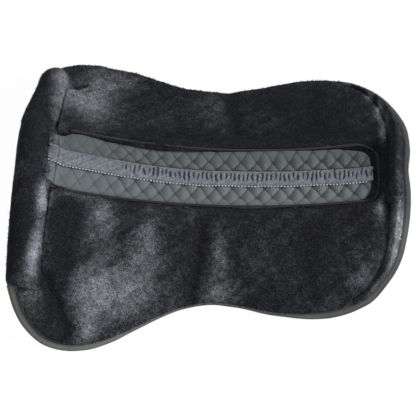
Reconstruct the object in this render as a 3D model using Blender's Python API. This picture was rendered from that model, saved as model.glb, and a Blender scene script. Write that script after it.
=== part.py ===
"""A contoured half pad, standing on its hems like a low arch with its plush side up.

Every piece is cut flat from the pad's pattern and laid on one curved surface. A flat point has u, its
distance behind the front edge along the spine, s, its distance out from the spine, and h, its height
above the pad's smooth inner face. place() turns the three into a point of the standing pad.
+X runs from the front to the rear and +Z is up. +Y is the side that lies on a horse's left in use,
when the pad is turned over and its plush side faces down.
"""

import math

import bmesh
import bpy
import numpy as np

# Standing shape. Slopes are in degrees at the front edge, the waist and the rear edge.
PAD_LENGTH = 0.544
TOPLINE_RADIUS = 0.64
FRONT_PITCH = math.radians(-32.76)
CHANNEL_SLOPES = (36.7, 13.6, 16.9)
FLANK_SLOPES = (31.9, 23.7, 20.8)
FLANK_STATION = 0.20
CHANNEL_HALF = 0.044
FRONT_HEIGHT = 0.1483
FRONT_X = -0.2533
FALL_STEPS = 24

# Hem of one flank, from the roll's outer end round the front lobe, waist and rear lobe to the spine
HEM_POINTS = (
    (0.030, 0.180), (0.045, 0.211), (0.061, 0.231), (0.083, 0.246), (0.109, 0.250), (0.136, 0.244),
    (0.162, 0.231), (0.189, 0.213), (0.216, 0.195), (0.245, 0.181), (0.279, 0.174), (0.314, 0.178),
    (0.354, 0.187), (0.404, 0.194), (0.444, 0.190), (0.470, 0.177), (0.495, 0.156), (0.514, 0.130),
    (0.529, 0.095), (0.539, 0.060), (0.544, 0.030), (0.544, 0.000),
)
HEM_AT_CHANNEL = (0.542, CHANNEL_HALF)
# Crease between the fleece panel and the raised rear rim, from the spine outwards
CREASE_POINTS = (
    (0.514, 0.000), (0.514, 0.044), (0.509, 0.080), (0.500, 0.115), (0.481, 0.147), (0.455, 0.168),
)
CREASE_AT_CHANNEL = (0.514, CHANNEL_HALF)
SQUARE_STEP = 0.004

# Layers, as heights above the smooth inner face
PLY_GAP = 0.0006
COVER_TOP = 0.0035
FOAM_TOP = 0.0105
FOAM_GAP = 0.0009
FLEECE_EDGE_TOP = 0.0100
FLEECE_TOP = 0.0210
QUILT_TOP = 0.0075
STRIP_THICKNESS = QUILT_TOP - COVER_TOP - PLY_GAP

# Fleece panel. Rises are (share at the very edge, distance or share over which the pile comes up).
PANEL_ROWS = tuple(np.linspace(0.10, 0.93, 15))
PANEL_COLUMNS = (0.10, 0.25, 0.45, 0.65, 0.80, 0.90)
PANEL_CLEARANCE = 0.0014
PANEL_HEM_START = 0.030
PANEL_HEM_END = (0.436, 0.192)
PANEL_SEAM_GAP = 0.001
PANEL_SEAM_STOP = 0.168
PANEL_CORNER = (0.064, 0.177)
PANEL_CREASE_GAP = (0.0005, 0.0004)
PANEL_CREASE_START = 0.20
HEM_RISE = (0.0, 0.030)
CHANNEL_RISE = (0.55, 0.012)
END_RISE = (0.35, 0.04)
STATION_SLACK = 0.001
FOAM_START = 0.11
FOAM_END_CUT = 0.01

# Smooth cover
COVER_INSET = 0.0036
COVER_FRONT_GAP = 0.002
COVER_CORNER = (0.470, 0.177)
COVER_ROWS = (*np.linspace(0, 0.35, 15), *np.linspace(0.35, 1, 16)[1:])
COVER_COLUMNS = tuple(np.linspace(0, 1, 8))
SPINE_COVER_ROWS = tuple(np.linspace(0, 1, 22))

# Front roll: a stuffed sleeve of fleece over the front edge
ROLL_HALF_LENGTH = 0.176
ROLL_SWEEP_START = 0.035
ROLL_SWEEP = 0.185
SEAM_AT_SPINE = 0.055
SEAM_AT_END = 0.070
ROLL_HEIGHT = 0.029
ROLL_SECTION = (
    (0.05, 0.10), (-0.03, 0.42), (0.05, 0.75), (0.22, 0.94), (0.43, 1.00), (0.63, 0.92),
    (0.81, 0.70), (0.93, 0.40), (0.99, 0.12), (0.85, 0.00), (0.50, 0.00), (0.15, 0.00),
)
# Its section where the quilted strip is sewn onto it and presses it down
PRESSED_SECTION = (
    (0.05, 0.10), (-0.03, 0.42), (0.05, 0.75), (0.20, 0.92), (0.38, 0.92), (0.55, 0.72),
    (0.72, 0.46), (0.88, 0.25), (0.99, 0.12), (0.85, 0.00), (0.50, 0.00), (0.15, 0.00),
)
PRESSED_OUT = 0.026
ROLL_CREST = 4
ROLL_FOOT = 8
ROLL_MIDDLE = (0.48, 0.47)
ROLL_STATIONS = (0.0, 0.2, 0.4, 0.6, 0.78, 0.88, 0.95, 1.0)
ROLL_NARROWING = (0.84, 0.94, 1.0)
ROLL_END_SIZES = (1.0, 0.93, 0.66)

# Rear rim: a stuffed crescent between the crease and the binding
RIM_HEIGHT = 0.022
RIM_END_HEIGHT = 0.010
RIM_SECTION = (
    (0.02, 0.10), (0.04, 0.60), (0.22, 0.92), (0.50, 1.00), (0.78, 0.88), (0.96, 0.52),
    (0.98, 0.10), (0.75, 0.00), (0.25, 0.00),
)
RIM_MIDDLE = (0.50, 0.45)
RIM_STATIONS = tuple(np.linspace(0, 1, 11))
RIM_HEM_END = (0.461, 0.183)
SLEEVE_SIZE = 0.80
CORE_SIZE = 0.75

# Spine channel. The band's and the elastic's corners are s and the height above the strip's top.
STRIP_HALF = 0.0388
STRIP_FRONT = 0.0410
STRIP_REAR = 0.4925
STRIP_CORNER = 0.013
STRIP_LEVEL_OUT = 0.006
STRIP_ROWS = (*np.linspace(0, 0.96, 25), 0.975, 0.99, 1.0)
BAND_HALF = 0.0105
BAND_SECTION = (
    (-0.0105, 0.0003), (-0.0105, 0.0036), (-0.0083, 0.0052), (0.0083, 0.0052), (0.0105, 0.0036),
    (0.0105, 0.0003), (0.0092, 0.0003), (0.0087, 0.0032), (-0.0087, 0.0032), (-0.0092, 0.0003),
)
ELASTIC_SECTION = ((-0.008, 0.0011), (-0.008, 0.0024), (0.008, 0.0024), (0.008, 0.0011))
BAND_STATIONS = tuple(np.linspace(0, 1, 27))
BAND_END_GAP = 0.001
BAND_STITCH_OUT = 0.0012
ACROSS_SPINE = (-1.0, -0.75, -0.5, -0.25, 0.0, 0.25, 0.5, 0.75, 1.0)
THREAD_RADIUS = 0.0005
THREAD_SIDES = 4
PIPING_RADIUS = 0.0014
PIPING_SIDES = 6
PIPING_S = 0.0418
PIPING_H = 0.0108
PIPING_FRONT = 0.072
PIPING_REAR = 0.510
PIPING_STATIONS = tuple(np.linspace(0, 1, 24))

# Hem binding: a folded tape, open towards the panel, whose lowest corner is pressed flat.
# Its corners are the distance out from the hem line and h.
BINDING_WIDTH = 0.0105
BINDING_SECTION = (
    (-BINDING_WIDTH, 0.0041), (-BINDING_WIDTH, 0.0058), (-0.0025, 0.0058), (0.0, 0.0042),
    (0.0, -0.0007), (-0.0025, -0.0023), (-BINDING_WIDTH, -0.0023), (-BINDING_WIDTH, -0.0006),
    (-0.0018, -0.0006), (-0.0018, 0.0041),
)
HEM_STATIONS = tuple(np.linspace(0, 1, 60))
BINDING_START = 0.006
HEM_STITCH_START = 0.010
HEM_STITCH_STOP = 0.004
HEM_STITCH_INSET = 0.0085
HEM_STITCH_H = 0.0069

# Fold of each flank against the spine, about a straight axis at the channel's edge
FOLD_FRONT_U = 0.060
FOLD_REAR_U = 0.490
FOLD_DEPTH = 0.005
FOLD_MAX = math.radians(32)
FOLD_GAP = 0.0046
FOLD_SIDE_GAP = 0.0026

FLEECE = (0.030, 0.031, 0.037)
QUILT = (0.105, 0.117, 0.128)
BINDING = (0.060, 0.068, 0.066)
WHITE_ELASTIC = (0.62, 0.62, 0.60)
FOAM = (0.55, 0.52, 0.42)
WADDING = (0.70, 0.70, 0.68)
THREAD = (0.020, 0.020, 0.024)


def clear_scene():
    for found in list(bpy.data.objects):
        bpy.data.objects.remove(found)


def quadratic(values, u):
    """The smooth curve through three values at the front edge, halfway and the rear edge."""
    t = u / PAD_LENGTH
    front, middle, rear = values
    return front * (1 - t) * (1 - 2 * t) + middle * 4 * t * (1 - t) + rear * t * (2 * t - 1)


def slope(u, s):
    """How steeply the pad falls away from the spine at s, in radians."""
    edge = quadratic(CHANNEL_SLOPES, u)
    gain = (quadratic(FLANK_SLOPES, u) - edge) / (FLANK_STATION - CHANNEL_HALF)
    inside = edge * s / CHANNEL_HALF
    outside = edge + gain * (s - CHANNEL_HALF)
    return np.radians(np.where(s < CHANNEL_HALF, inside, outside))


def place(u, s, h):
    """The point of the standing pad that belongs to the flat point u, s at height h."""
    u, s, h = np.broadcast_arrays(np.asarray(u, float), np.asarray(s, float), np.asarray(h, float))
    side = np.where(s < 0, -1.0, 1.0)
    reach = np.abs(s)
    steps = (np.arange(FALL_STEPS) + 0.5) / FALL_STEPS
    falls = slope(u[..., None], reach[..., None] * steps)
    lean = slope(u, reach)
    out = np.cos(falls).mean(-1) * reach + h * np.sin(lean)
    drop = np.sin(falls).mean(-1) * reach - h * np.cos(lean)
    pitch = FRONT_PITCH + u / TOPLINE_RADIUS
    x = TOPLINE_RADIUS * (np.sin(pitch) - math.sin(FRONT_PITCH)) + drop * np.sin(pitch)
    z = TOPLINE_RADIUS * (math.cos(FRONT_PITCH) - np.cos(pitch)) - drop * np.cos(pitch)
    return np.stack((x + FRONT_X, side * out, z + FRONT_HEIGHT), -1)


def smooth_path(points, per_span=8):
    """A smooth curve through the points, as a dense list of them."""
    p = np.array(points, float)
    p = np.vstack((2 * p[0] - p[1], p, 2 * p[-1] - p[-2]))
    t = (np.arange(per_span) / per_span)[:, None]
    spans = []
    for a, b, c, d in zip(p[:-3], p[1:-2], p[2:-1], p[3:]):
        spans.append(0.5 * (2 * b + (c - a) * t + (2 * a - 5 * b + 4 * c - d) * t**2
                            + (3 * b - a - 3 * c + d) * t**3))
    return np.vstack(spans + [p[-2:-1]])


class Path:
    """A flat curve that is read by its share of length."""

    def __init__(self, points):
        self.points = np.array(points, float)
        steps = np.linalg.norm(np.diff(self.points, axis=0), axis=1)
        self.lengths = np.concatenate(((0.0,), np.cumsum(steps)))

    def at(self, share):
        length = np.asarray(share) * self.lengths[-1]
        u = np.interp(length, self.lengths, self.points[:, 0])
        s = np.interp(length, self.lengths, self.points[:, 1])
        return np.stack((u, s), -1)

    def square_to(self, share):
        """The unit direction square to the curve, on the left of the way it runs."""
        share = np.asarray(share)
        ahead = self.at(np.minimum(1, share + SQUARE_STEP)) - self.at(np.maximum(0, share - SQUARE_STEP))
        ahead /= np.linalg.norm(ahead, axis=-1, keepdims=True)
        return np.stack((-ahead[..., 1], ahead[..., 0]), -1)

    def share_of(self, point):
        """The share of length at which the curve comes nearest to a point."""
        nearest = np.argmin(np.linalg.norm(self.points - np.array(point), axis=1))
        return self.lengths[nearest] / self.lengths[-1]

    def between(self, start, end, inset=0.0, count=60):
        """The part of the curve between two shares, moved inwards by inset."""
        shares = np.linspace(start, end, count)
        return Path(self.at(shares) - self.square_to(shares) * inset)


HEM = Path(smooth_path(HEM_POINTS))
CREASE = Path(smooth_path(CREASE_POINTS))


def front_edge(s):
    """u of the front edge, which sweeps back away from the spine."""
    return ROLL_SWEEP * np.maximum(0.0, np.abs(s) - ROLL_SWEEP_START)


def seam(s):
    """u of the seam behind the front roll."""
    return SEAM_AT_SPINE + (SEAM_AT_END - SEAM_AT_SPINE) * (np.abs(s) / ROLL_HALF_LENGTH) ** 2


def strip_base(u):
    """Height on which the quilted strip lies: on the cover, and at its front on the roll's slope."""
    slope_side = [roll_point(k, 0.0, 1.0) for k in range(ROLL_CREST, ROLL_FOOT + 1)]
    us = [p[0] for p in slope_side] + [seam(0.0) + STRIP_LEVEL_OUT]
    hs = [p[2] + 2 * PLY_GAP for p in slope_side] + [COVER_TOP + PLY_GAP]
    return np.interp(u, us, hs)


def fold_axis():
    """Two points on the left flank's fold axis."""
    ends = place(np.array((FOLD_FRONT_U, FOLD_REAR_U)), CHANNEL_HALF, (COVER_TOP + QUILT_TOP) / 2)
    ends[:, 1] = CHANNEL_HALF
    ends[:, 2] -= FOLD_DEPTH
    return ends


def spine_reach(u, h):
    """Half width that the spine's pieces may have, so that a flank folds up without meeting them."""
    front, rear = fold_axis()
    edge = place(u, CHANNEL_HALF, h)
    axis_z = front[2] + (edge[..., 0] - front[0]) * (rear[2] - front[2]) / (rear[0] - front[0])
    above = np.maximum(0.0, edge[..., 2] - axis_z)
    folded_in = above * math.sin(FOLD_MAX) + np.where(above > 0, FOLD_SIDE_GAP, 0.0)
    return float(CHANNEL_HALF - np.maximum(FOLD_GAP, folded_in))


def material(name, colour, roughness):
    made = bpy.data.materials.new(name)
    made.use_nodes = True
    shader = made.node_tree.nodes["Principled BSDF"]
    shader.inputs["Base Color"].default_value = (*colour, 1.0)
    shader.inputs["Roughness"].default_value = roughness
    shader.inputs["Metallic"].default_value = 0.0
    return made


def finish(bm, name, look, collection, parent=None):
    """Lays a flat piece on the standing pad and makes it an object."""
    flat = np.array([v.co for v in bm.verts])
    for vertex, point in zip(bm.verts, place(flat[:, 0], flat[:, 1], flat[:, 2])):
        vertex.co = point
    bmesh.ops.recalc_face_normals(bm, faces=bm.faces[:])
    if bm.calc_volume(signed=True) < 0:
        bmesh.ops.reverse_faces(bm, faces=bm.faces[:])
    mesh = bpy.data.meshes.new(name)
    bm.to_mesh(mesh)
    bm.free()
    made = bpy.data.objects.new(name, mesh)
    mesh.materials.append(look)
    collection.objects.link(made)
    if parent is not None:
        made.parent = parent
        made.matrix_parent_inverse = parent.matrix_world.inverted()
    return made


def raise_copy(bm):
    """Extrudes every face of a sheet in place, and returns the new side's vertices."""
    raised = bmesh.ops.extrude_face_region(bm, geom=bm.faces[:])["geom"]
    return [g for g in raised if isinstance(g, bmesh.types.BMVert)]


def slab(rows, columns, low, high):
    """A grid with thickness. low(a, b) and high(a, b) give the flat point of each side's vertices."""
    bm = bmesh.new()
    bmesh.ops.create_grid(bm, x_segments=len(rows) - 1, y_segments=len(columns) - 1, size=1.0)
    lower = bm.verts[:]
    upper = raise_copy(bm)
    for vertices, flat in ((lower, low), (upper, high)):
        for vertex in vertices:
            row = round((vertex.co.x + 1) / 2 * (len(rows) - 1))
            column = round((vertex.co.y + 1) / 2 * (len(columns) - 1))
            vertex.co = flat(rows[row], columns[column])
    return bm


def sweep(sides, stations, flat, hollow=None):
    """A closed rod along a path, or with hollow a tube that is open at both ends.

    flat(k, t) gives the flat point of the section's corner k at station t, and hollow that of the inside.
    """
    bm = bmesh.new()
    bmesh.ops.create_cone(bm, cap_ends=hollow is None, segments=sides, radius1=1, radius2=1, depth=2)
    along = [e for e in bm.edges if abs(e.verts[0].co.z - e.verts[1].co.z) > 1]
    bmesh.ops.subdivide_edges(bm, edges=along, cuts=len(stations) - 2, use_grid_fill=False)
    outer = bm.verts[:]
    inner = raise_copy(bm) if hollow is not None else []
    for vertices, shape in ((outer, flat), (inner, hollow)):
        for vertex in vertices:
            corner = round(math.atan2(vertex.co.y, vertex.co.x) / math.tau * sides) % sides
            station = round((vertex.co.z + 1) / 2 * (len(stations) - 1))
            vertex.co = shape(corner, stations[station])
    return bm


def patch(inner, outer, front, rear):
    """A flat four-sided patch between its edge curves, read by shares a (front to rear) and b (outwards)."""
    corners = [inner.at(0.0), inner.at(1.0), outer.at(0.0), outer.at(1.0)]

    def point(a, b):
        across = (1 - b) * inner.at(a) + b * outer.at(a)
        along = (1 - a) * front.at(b) + a * rear.at(b)
        mixed = ((1 - b) * ((1 - a) * corners[0] + a * corners[1])
                 + b * ((1 - a) * corners[2] + a * corners[3]))
        return across + along - mixed

    return point


def level(flat, side, h):
    """A patch at one height, as slab() reads it."""
    def at(a, b):
        u, s = flat(a, b)
        return (u, side * s, h)

    return at


def fleece_patch():
    """The fleece panel: from the roll's seam and round its end to the rear crease, inside the binding."""
    outer = HEM.between(PANEL_HEM_START, HEM.share_of(PANEL_HEM_END), BINDING_WIDTH + PANEL_CLEARANCE)
    seam_s = np.linspace(CHANNEL_HALF, PANEL_SEAM_STOP, 9)
    front = [(seam(s) + PANEL_SEAM_GAP, s) for s in seam_s] + [PANEL_CORNER, tuple(outer.at(0.0))]
    shares = np.linspace(PANEL_CREASE_START, 1.0, 9)
    crease = [tuple(CREASE.at(t) - np.array(PANEL_CREASE_GAP)) for t in shares]
    rear = [(crease[0][0], CHANNEL_HALF)] + crease[1:] + [tuple(outer.at(1.0))]
    inner = Path([front[0], rear[0]])
    return patch(inner, outer, Path(front), Path(rear)), outer


def cover_patch():
    """The smooth cover: the whole flank, out to the fold of the binding."""
    turn = HEM.share_of(COVER_CORNER)
    outer = HEM.between(0.0, turn, COVER_INSET)
    rear = HEM.between(HEM.share_of(HEM_AT_CHANNEL), turn, COVER_INSET)
    front_s = np.linspace(CHANNEL_HALF, ROLL_HALF_LENGTH, 9)
    front = Path([(front_edge(s) + COVER_FRONT_GAP, s) for s in front_s] + [tuple(outer.at(0.0))])
    rear = Path(np.vstack(((rear.at(0.0)[0], CHANNEL_HALF), rear.points[1:])))
    inner = Path([tuple(front.at(0.0)), tuple(rear.at(0.0))])
    return patch(inner, outer, front, rear)


def rounded(start, share):
    """Rise of a rounded edge, from start at the edge to 1."""
    share = min(1.0, max(0.0, start + share))
    return math.sqrt(1 - (1 - share) ** 2)


def side_name(side):
    return "left" if side > 0 else "right"


def fleece_panel(side, look, collection, parent):
    flat, outer = fleece_patch()
    rows = (0.0, 0.015, 0.05, *PANEL_ROWS, 0.965, 0.99, 1.0)
    columns = (0.0, 0.02, 0.055, *PANEL_COLUMNS, 0.96, 1.0)

    def low(a, b):
        u, s = flat(a, b)
        lengthwise = PANEL_ROWS[0] - STATION_SLACK < a < PANEL_ROWS[-1] + STATION_SLACK
        across = PANEL_COLUMNS[0] - STATION_SLACK < b < PANEL_COLUMNS[-1] + STATION_SLACK
        over_foam = lengthwise and across
        return (u, side * s, FOAM_TOP + FOAM_GAP if over_foam else COVER_TOP + PLY_GAP)

    def high(a, b):
        u, s = flat(a, b)
        to_hem = np.min(np.linalg.norm(outer.points - np.array((u, s)), axis=1))
        rise = min(rounded(HEM_RISE[0], to_hem / HEM_RISE[1]),
                   rounded(CHANNEL_RISE[0], (s - CHANNEL_HALF) / CHANNEL_RISE[1]),
                   rounded(END_RISE[0], min(a, 1 - a) / END_RISE[1]))
        return (u, side * s, FLEECE_EDGE_TOP + (FLEECE_TOP - FLEECE_EDGE_TOP) * rise)

    finish(slab(rows, columns, low, high), side_name(side) + "_fleece_panel", look, collection, parent)


def foam_insert(side, look, collection, parent):
    flat, _ = fleece_patch()
    rows = (FOAM_START, *PANEL_ROWS[1:-1], PANEL_ROWS[-1] - FOAM_END_CUT)
    columns = (FOAM_START, *PANEL_COLUMNS[1:-1], PANEL_COLUMNS[-1] - FOAM_END_CUT)
    bm = slab(rows, columns, level(flat, side, COVER_TOP + PLY_GAP), level(flat, side, FOAM_TOP))
    finish(bm, side_name(side) + "_foam_insert", look, collection, parent)


def flank_cover(side, look, collection, parent):
    flat = cover_patch()
    bm = slab(COVER_ROWS, COVER_COLUMNS, level(flat, side, 0.0), level(flat, side, COVER_TOP))
    finish(bm, side_name(side) + "_quilted_cover", look, collection, parent)


def along_hem(side, start, end, section):
    """A rod or tape whose section follows the hem between two shares of its length."""
    def flat(k, t):
        share = start + (end - start) * t
        off, h = section[k]
        u, s = HEM.at(share) + HEM.square_to(share) * off
        return (u, side * s, h)

    return sweep(len(section), HEM_STATIONS, flat)


def round_section(radius, sides, off, h):
    turns = [math.tau * (k + 0.5) / sides for k in range(sides)]
    return [(off + radius * math.cos(turn), h + radius * math.sin(turn)) for turn in turns]


def press_flat(made):
    """Cuts away what would sink below the floor, which leaves flat faces where the hem rests."""
    bm = bmesh.new()
    bm.from_mesh(made.data)
    every = bm.verts[:] + bm.edges[:] + bm.faces[:]
    cut = bmesh.ops.bisect_plane(bm, geom=every, plane_co=(0, 0, 0), plane_no=(0, 0, -1), clear_outer=True)
    edges = [g for g in cut["geom_cut"] if isinstance(g, bmesh.types.BMEdge) and g.is_boundary]
    bmesh.ops.holes_fill(bm, edges=edges, sides=0)
    bmesh.ops.recalc_face_normals(bm, faces=bm.faces[:])
    bm.to_mesh(made.data)
    bm.free()


def hem_binding(side, look, collection, parent):
    bm = along_hem(side, BINDING_START, HEM.share_of(HEM_AT_CHANNEL), BINDING_SECTION)
    press_flat(finish(bm, side_name(side) + "_hem_binding", look, collection, parent))


def hem_stitching(side, look, collection, parent):
    section = round_section(THREAD_RADIUS, THREAD_SIDES, -HEM_STITCH_INSET, HEM_STITCH_H)
    end = HEM.share_of(HEM_AT_CHANNEL) - HEM_STITCH_STOP
    bm = along_hem(side, HEM_STITCH_START, end, section)
    finish(bm, side_name(side) + "_hem_stitching", look, collection, parent)


def shrunk(corner, middle, size):
    """A section's corner, moved towards the section's middle."""
    return [m + (c - m) * size for c, m in zip(corner, middle)]


def roll_point(k, s, size):
    """The flat point of the roll's section corner k at s, its section shrunk to size about its middle."""
    free = min(1.0, max(0.0, (abs(s) - CHANNEL_HALF) / PRESSED_OUT))
    corner = [free * a + (1 - free) * b for a, b in zip(ROLL_SECTION[k], PRESSED_SECTION[k])]
    p, q = shrunk(corner, ROLL_MIDDLE, size)
    start = front_edge(s)
    return (start + p * (seam(s) - start), s, COVER_TOP + PLY_GAP + q * ROLL_HEIGHT)


def stuffed(name, sides, stations, section, sleeve_look, core_look, collection, parent=None):
    """A sleeve that is open at both ends and the wadding inside it. section(size) gives either's shape."""
    sleeve = sweep(sides, stations, section(1.0), section(SLEEVE_SIZE))
    finish(sleeve, name, sleeve_look, collection, parent)
    finish(sweep(sides, stations, section(CORE_SIZE)), name + "_core", core_look, collection, parent)


def front_roll(side, sleeve_look, core_look, collection, parent):
    """One flank's length of the front roll, which narrows to a rounded outer end."""
    def section(size):
        def flat(k, t):
            s = side * (CHANNEL_HALF + t * (ROLL_HALF_LENGTH - CHANNEL_HALF))
            return roll_point(k, s, size * float(np.interp(t, ROLL_NARROWING, ROLL_END_SIZES)))
        return flat

    stuffed(side_name(side) + "_front_roll", len(ROLL_SECTION), ROLL_STATIONS, section, sleeve_look,
            core_look, collection, parent)


def centre_roll(sleeve_look, core_look, collection):
    def section(size):
        def flat(k, t):
            u, _, h = roll_point(k, 0.0, size)
            return (u, t * spine_reach(u, h), h)
        return flat

    stuffed("centre_front_roll", len(ROLL_SECTION), ACROSS_SPINE, section, sleeve_look, core_look, collection)


def rear_rim(side, sleeve_look, core_look, collection, parent):
    """One flank's length of the rear rim, from the channel's edge outwards."""
    inner = CREASE.between(CREASE.share_of(CREASE_AT_CHANNEL), 1.0)
    outer = HEM.between(HEM.share_of(HEM_AT_CHANNEL), HEM.share_of(RIM_HEM_END),
                        BINDING_WIDTH + PANEL_CLEARANCE)

    def section(size):
        def flat(k, t):
            p, q = shrunk(RIM_SECTION[k], RIM_MIDDLE, size)
            height = RIM_HEIGHT + (RIM_END_HEIGHT - RIM_HEIGHT) * t
            u, s = inner.at(t) + (outer.at(t) - inner.at(t)) * p
            return (u, side * max(s, CHANNEL_HALF), COVER_TOP + PLY_GAP + q * height)
        return flat

    stuffed(side_name(side) + "_rear_rim", len(RIM_SECTION), RIM_STATIONS, section, sleeve_look, core_look,
            collection, parent)


def centre_rim(sleeve_look, core_look, collection):
    near = CREASE_POINTS[0][0]
    far = PAD_LENGTH - BINDING_WIDTH - PLY_GAP

    def section(size):
        def flat(k, t):
            p, q = shrunk(RIM_SECTION[k], RIM_MIDDLE, size)
            u = near + (far - near) * p
            h = COVER_TOP + PLY_GAP + q * RIM_HEIGHT
            return (u, t * spine_reach(u, h), h)
        return flat

    stuffed("centre_rear_rim", len(RIM_SECTION), ACROSS_SPINE, section, sleeve_look, core_look, collection)


def centre_binding(look, collection):
    def flat(k, t):
        off, h = BINDING_SECTION[k]
        u = PAD_LENGTH + off
        return (u, t * spine_reach(u, h), h)

    finish(sweep(len(BINDING_SECTION), ACROSS_SPINE, flat), "centre_rear_binding", look, collection)


def spine_cover(look, collection):
    def at_height(h):
        def at(a, b):
            u = COVER_FRONT_GAP + a * (PAD_LENGTH - COVER_FRONT_GAP - COVER_INSET)
            return (u, b * spine_reach(u, h), h)
        return at

    bm = slab(SPINE_COVER_ROWS, ACROSS_SPINE, at_height(0.0), at_height(COVER_TOP))
    finish(bm, "spine_cover", look, collection)


def spine_quilt(look, collection):
    """The quilted strip, with a rounded rear end and a front end that climbs onto the roll."""
    def raised(rise):
        def at(a, b):
            u = STRIP_FRONT + a * (STRIP_REAR - STRIP_FRONT)
            h = float(strip_base(u)) + rise
            past = min(max(0.0, u - (STRIP_REAR - STRIP_CORNER)), STRIP_CORNER)
            half = min(STRIP_HALF, spine_reach(u, h)) - STRIP_CORNER + math.sqrt(STRIP_CORNER**2 - past**2)
            return (u, b * half, h)
        return at

    finish(slab(STRIP_ROWS, ACROSS_SPINE, raised(0.0), raised(STRIP_THICKNESS)), "spine_quilt", look,
           collection)


def along_strip(section):
    """A rod along the strip, whose section's corners are s and the height above the strip's top."""
    def flat(k, t):
        s, rise = section[k]
        u = STRIP_FRONT + BAND_END_GAP + t * (STRIP_REAR - STRIP_FRONT - 2 * BAND_END_GAP)
        return (u, s, float(strip_base(u)) + STRIP_THICKNESS + rise)

    return sweep(len(section), BAND_STATIONS, flat)


def ruched_band(look, elastic_look, thread_look, collection):
    """The gathered casing, open below over its elastic, and the stitching along both its edges."""
    finish(along_strip(BAND_SECTION), "ruched_band", look, collection)
    finish(along_strip(ELASTIC_SECTION), "spine_elastic", elastic_look, collection)
    for side in (1, -1):
        thread = round_section(THREAD_RADIUS, THREAD_SIDES, side * (BAND_HALF + BAND_STITCH_OUT),
                               PLY_GAP + THREAD_RADIUS)
        finish(along_strip(thread), side_name(side) + "_band_stitching", thread_look, collection)


def channel_piping(side, look, collection, parent):
    section = round_section(PIPING_RADIUS, PIPING_SIDES, PIPING_S, PIPING_H)

    def flat(k, t):
        s, h = section[k]
        return (PIPING_FRONT + t * (PIPING_REAR - PIPING_FRONT), side * s, h)

    finish(sweep(PIPING_SIDES, PIPING_STATIONS, flat), side_name(side) + "_channel_piping", look,
           collection, parent)


def fold_empty(side, collection):
    """The empty on a flank's fold axis, which carries the flank's pieces."""
    middle = fold_axis().mean(axis=0)
    made = bpy.data.objects.new(side_name(side) + "_fold", None)
    collection.objects.link(made)
    made.location = (middle[0], side * middle[1], middle[2])
    bpy.context.view_layer.update()
    return made


def main():
    clear_scene()
    collection = bpy.data.collections.new("half_pad")
    bpy.context.scene.collection.children.link(collection)
    fleece = material("plush_fleece", FLEECE, 0.9)
    quilt = material("quilted_cotton", QUILT, 0.8)
    binding = material("hem_tape", BINDING, 0.75)
    elastic = material("elastic_webbing", WHITE_ELASTIC, 0.8)
    foam = material("pad_foam", FOAM, 0.85)
    wadding = material("wadding", WADDING, 0.95)
    thread = material("sewing_thread", THREAD, 0.6)

    spine_cover(quilt, collection)
    spine_quilt(quilt, collection)
    ruched_band(quilt, elastic, thread, collection)
    centre_roll(fleece, wadding, collection)
    centre_rim(fleece, wadding, collection)
    centre_binding(binding, collection)
    for side in (1, -1):
        parent = fold_empty(side, collection)
        flank_cover(side, quilt, collection, parent)
        foam_insert(side, foam, collection, parent)
        fleece_panel(side, fleece, collection, parent)
        front_roll(side, fleece, wadding, collection, parent)
        rear_rim(side, fleece, wadding, collection, parent)
        channel_piping(side, quilt, collection, parent)
        hem_binding(side, binding, collection, parent)
        hem_stitching(side, thread, collection, parent)


main()
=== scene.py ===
"""The half pad's looks: plush fleece flanks, a quilted spine channel with a ruched band, and a bound hem.

Each piece is shaped flat, as it was cut, and laid on the standing pad by lay(). A flat point has u, its
distance behind the front edge along the spine, s, its distance out from the spine, and h, its height
above the pad's smooth inner face. The left flank is side 1 and lies on the far side of the picture, and
the right flank is side -1. Where s is signed, it has the side's sign. A piece that crosses a fold is made
in two halves that meet at the spine, each laid on its own flank.
"""

import math

import bpy
import numpy as np
from mathutils import Matrix, Vector


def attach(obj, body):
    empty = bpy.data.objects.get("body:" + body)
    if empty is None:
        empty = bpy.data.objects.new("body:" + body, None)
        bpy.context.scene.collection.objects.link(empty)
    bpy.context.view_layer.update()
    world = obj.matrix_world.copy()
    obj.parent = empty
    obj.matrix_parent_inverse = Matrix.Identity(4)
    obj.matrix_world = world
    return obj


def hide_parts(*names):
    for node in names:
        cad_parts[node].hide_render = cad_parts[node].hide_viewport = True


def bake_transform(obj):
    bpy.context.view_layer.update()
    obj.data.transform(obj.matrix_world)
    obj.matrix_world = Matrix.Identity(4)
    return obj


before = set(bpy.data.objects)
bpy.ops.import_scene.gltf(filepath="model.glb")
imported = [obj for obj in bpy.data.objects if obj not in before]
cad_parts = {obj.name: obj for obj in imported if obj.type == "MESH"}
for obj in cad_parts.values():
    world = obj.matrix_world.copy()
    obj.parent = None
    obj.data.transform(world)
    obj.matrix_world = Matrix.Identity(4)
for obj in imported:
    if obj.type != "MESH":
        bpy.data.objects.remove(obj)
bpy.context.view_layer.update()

# Standing shape. Slopes are in degrees, at the front edge, halfway and at the rear edge.
PAD_LENGTH = 0.544
TOPLINE_RADIUS = 0.64
FRONT_PITCH = math.radians(-32.76)
CHANNEL_SLOPES = (36.7, 13.6, 16.9)
FLANK_SLOPES = (31.9, 23.7, 20.8)
FLANK_STATION = 0.20
CHANNEL_HALF = 0.044
FRONT_HEIGHT = 0.1483
FRONT_X = -0.2533
FALL_STEPS = 24

# Hem of one flank, from the roll's outer end round the front lobe, waist and rear lobe to the spine
HEM_POINTS = (
    (0.030, 0.180), (0.045, 0.211), (0.061, 0.231), (0.083, 0.246), (0.109, 0.250), (0.136, 0.244),
    (0.162, 0.231), (0.189, 0.213), (0.216, 0.195), (0.245, 0.181), (0.279, 0.174), (0.314, 0.178),
    (0.354, 0.187), (0.404, 0.194), (0.444, 0.190), (0.470, 0.177), (0.495, 0.156), (0.514, 0.130),
    (0.529, 0.095), (0.539, 0.060), (0.544, 0.030), (0.544, 0.000),
)
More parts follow.
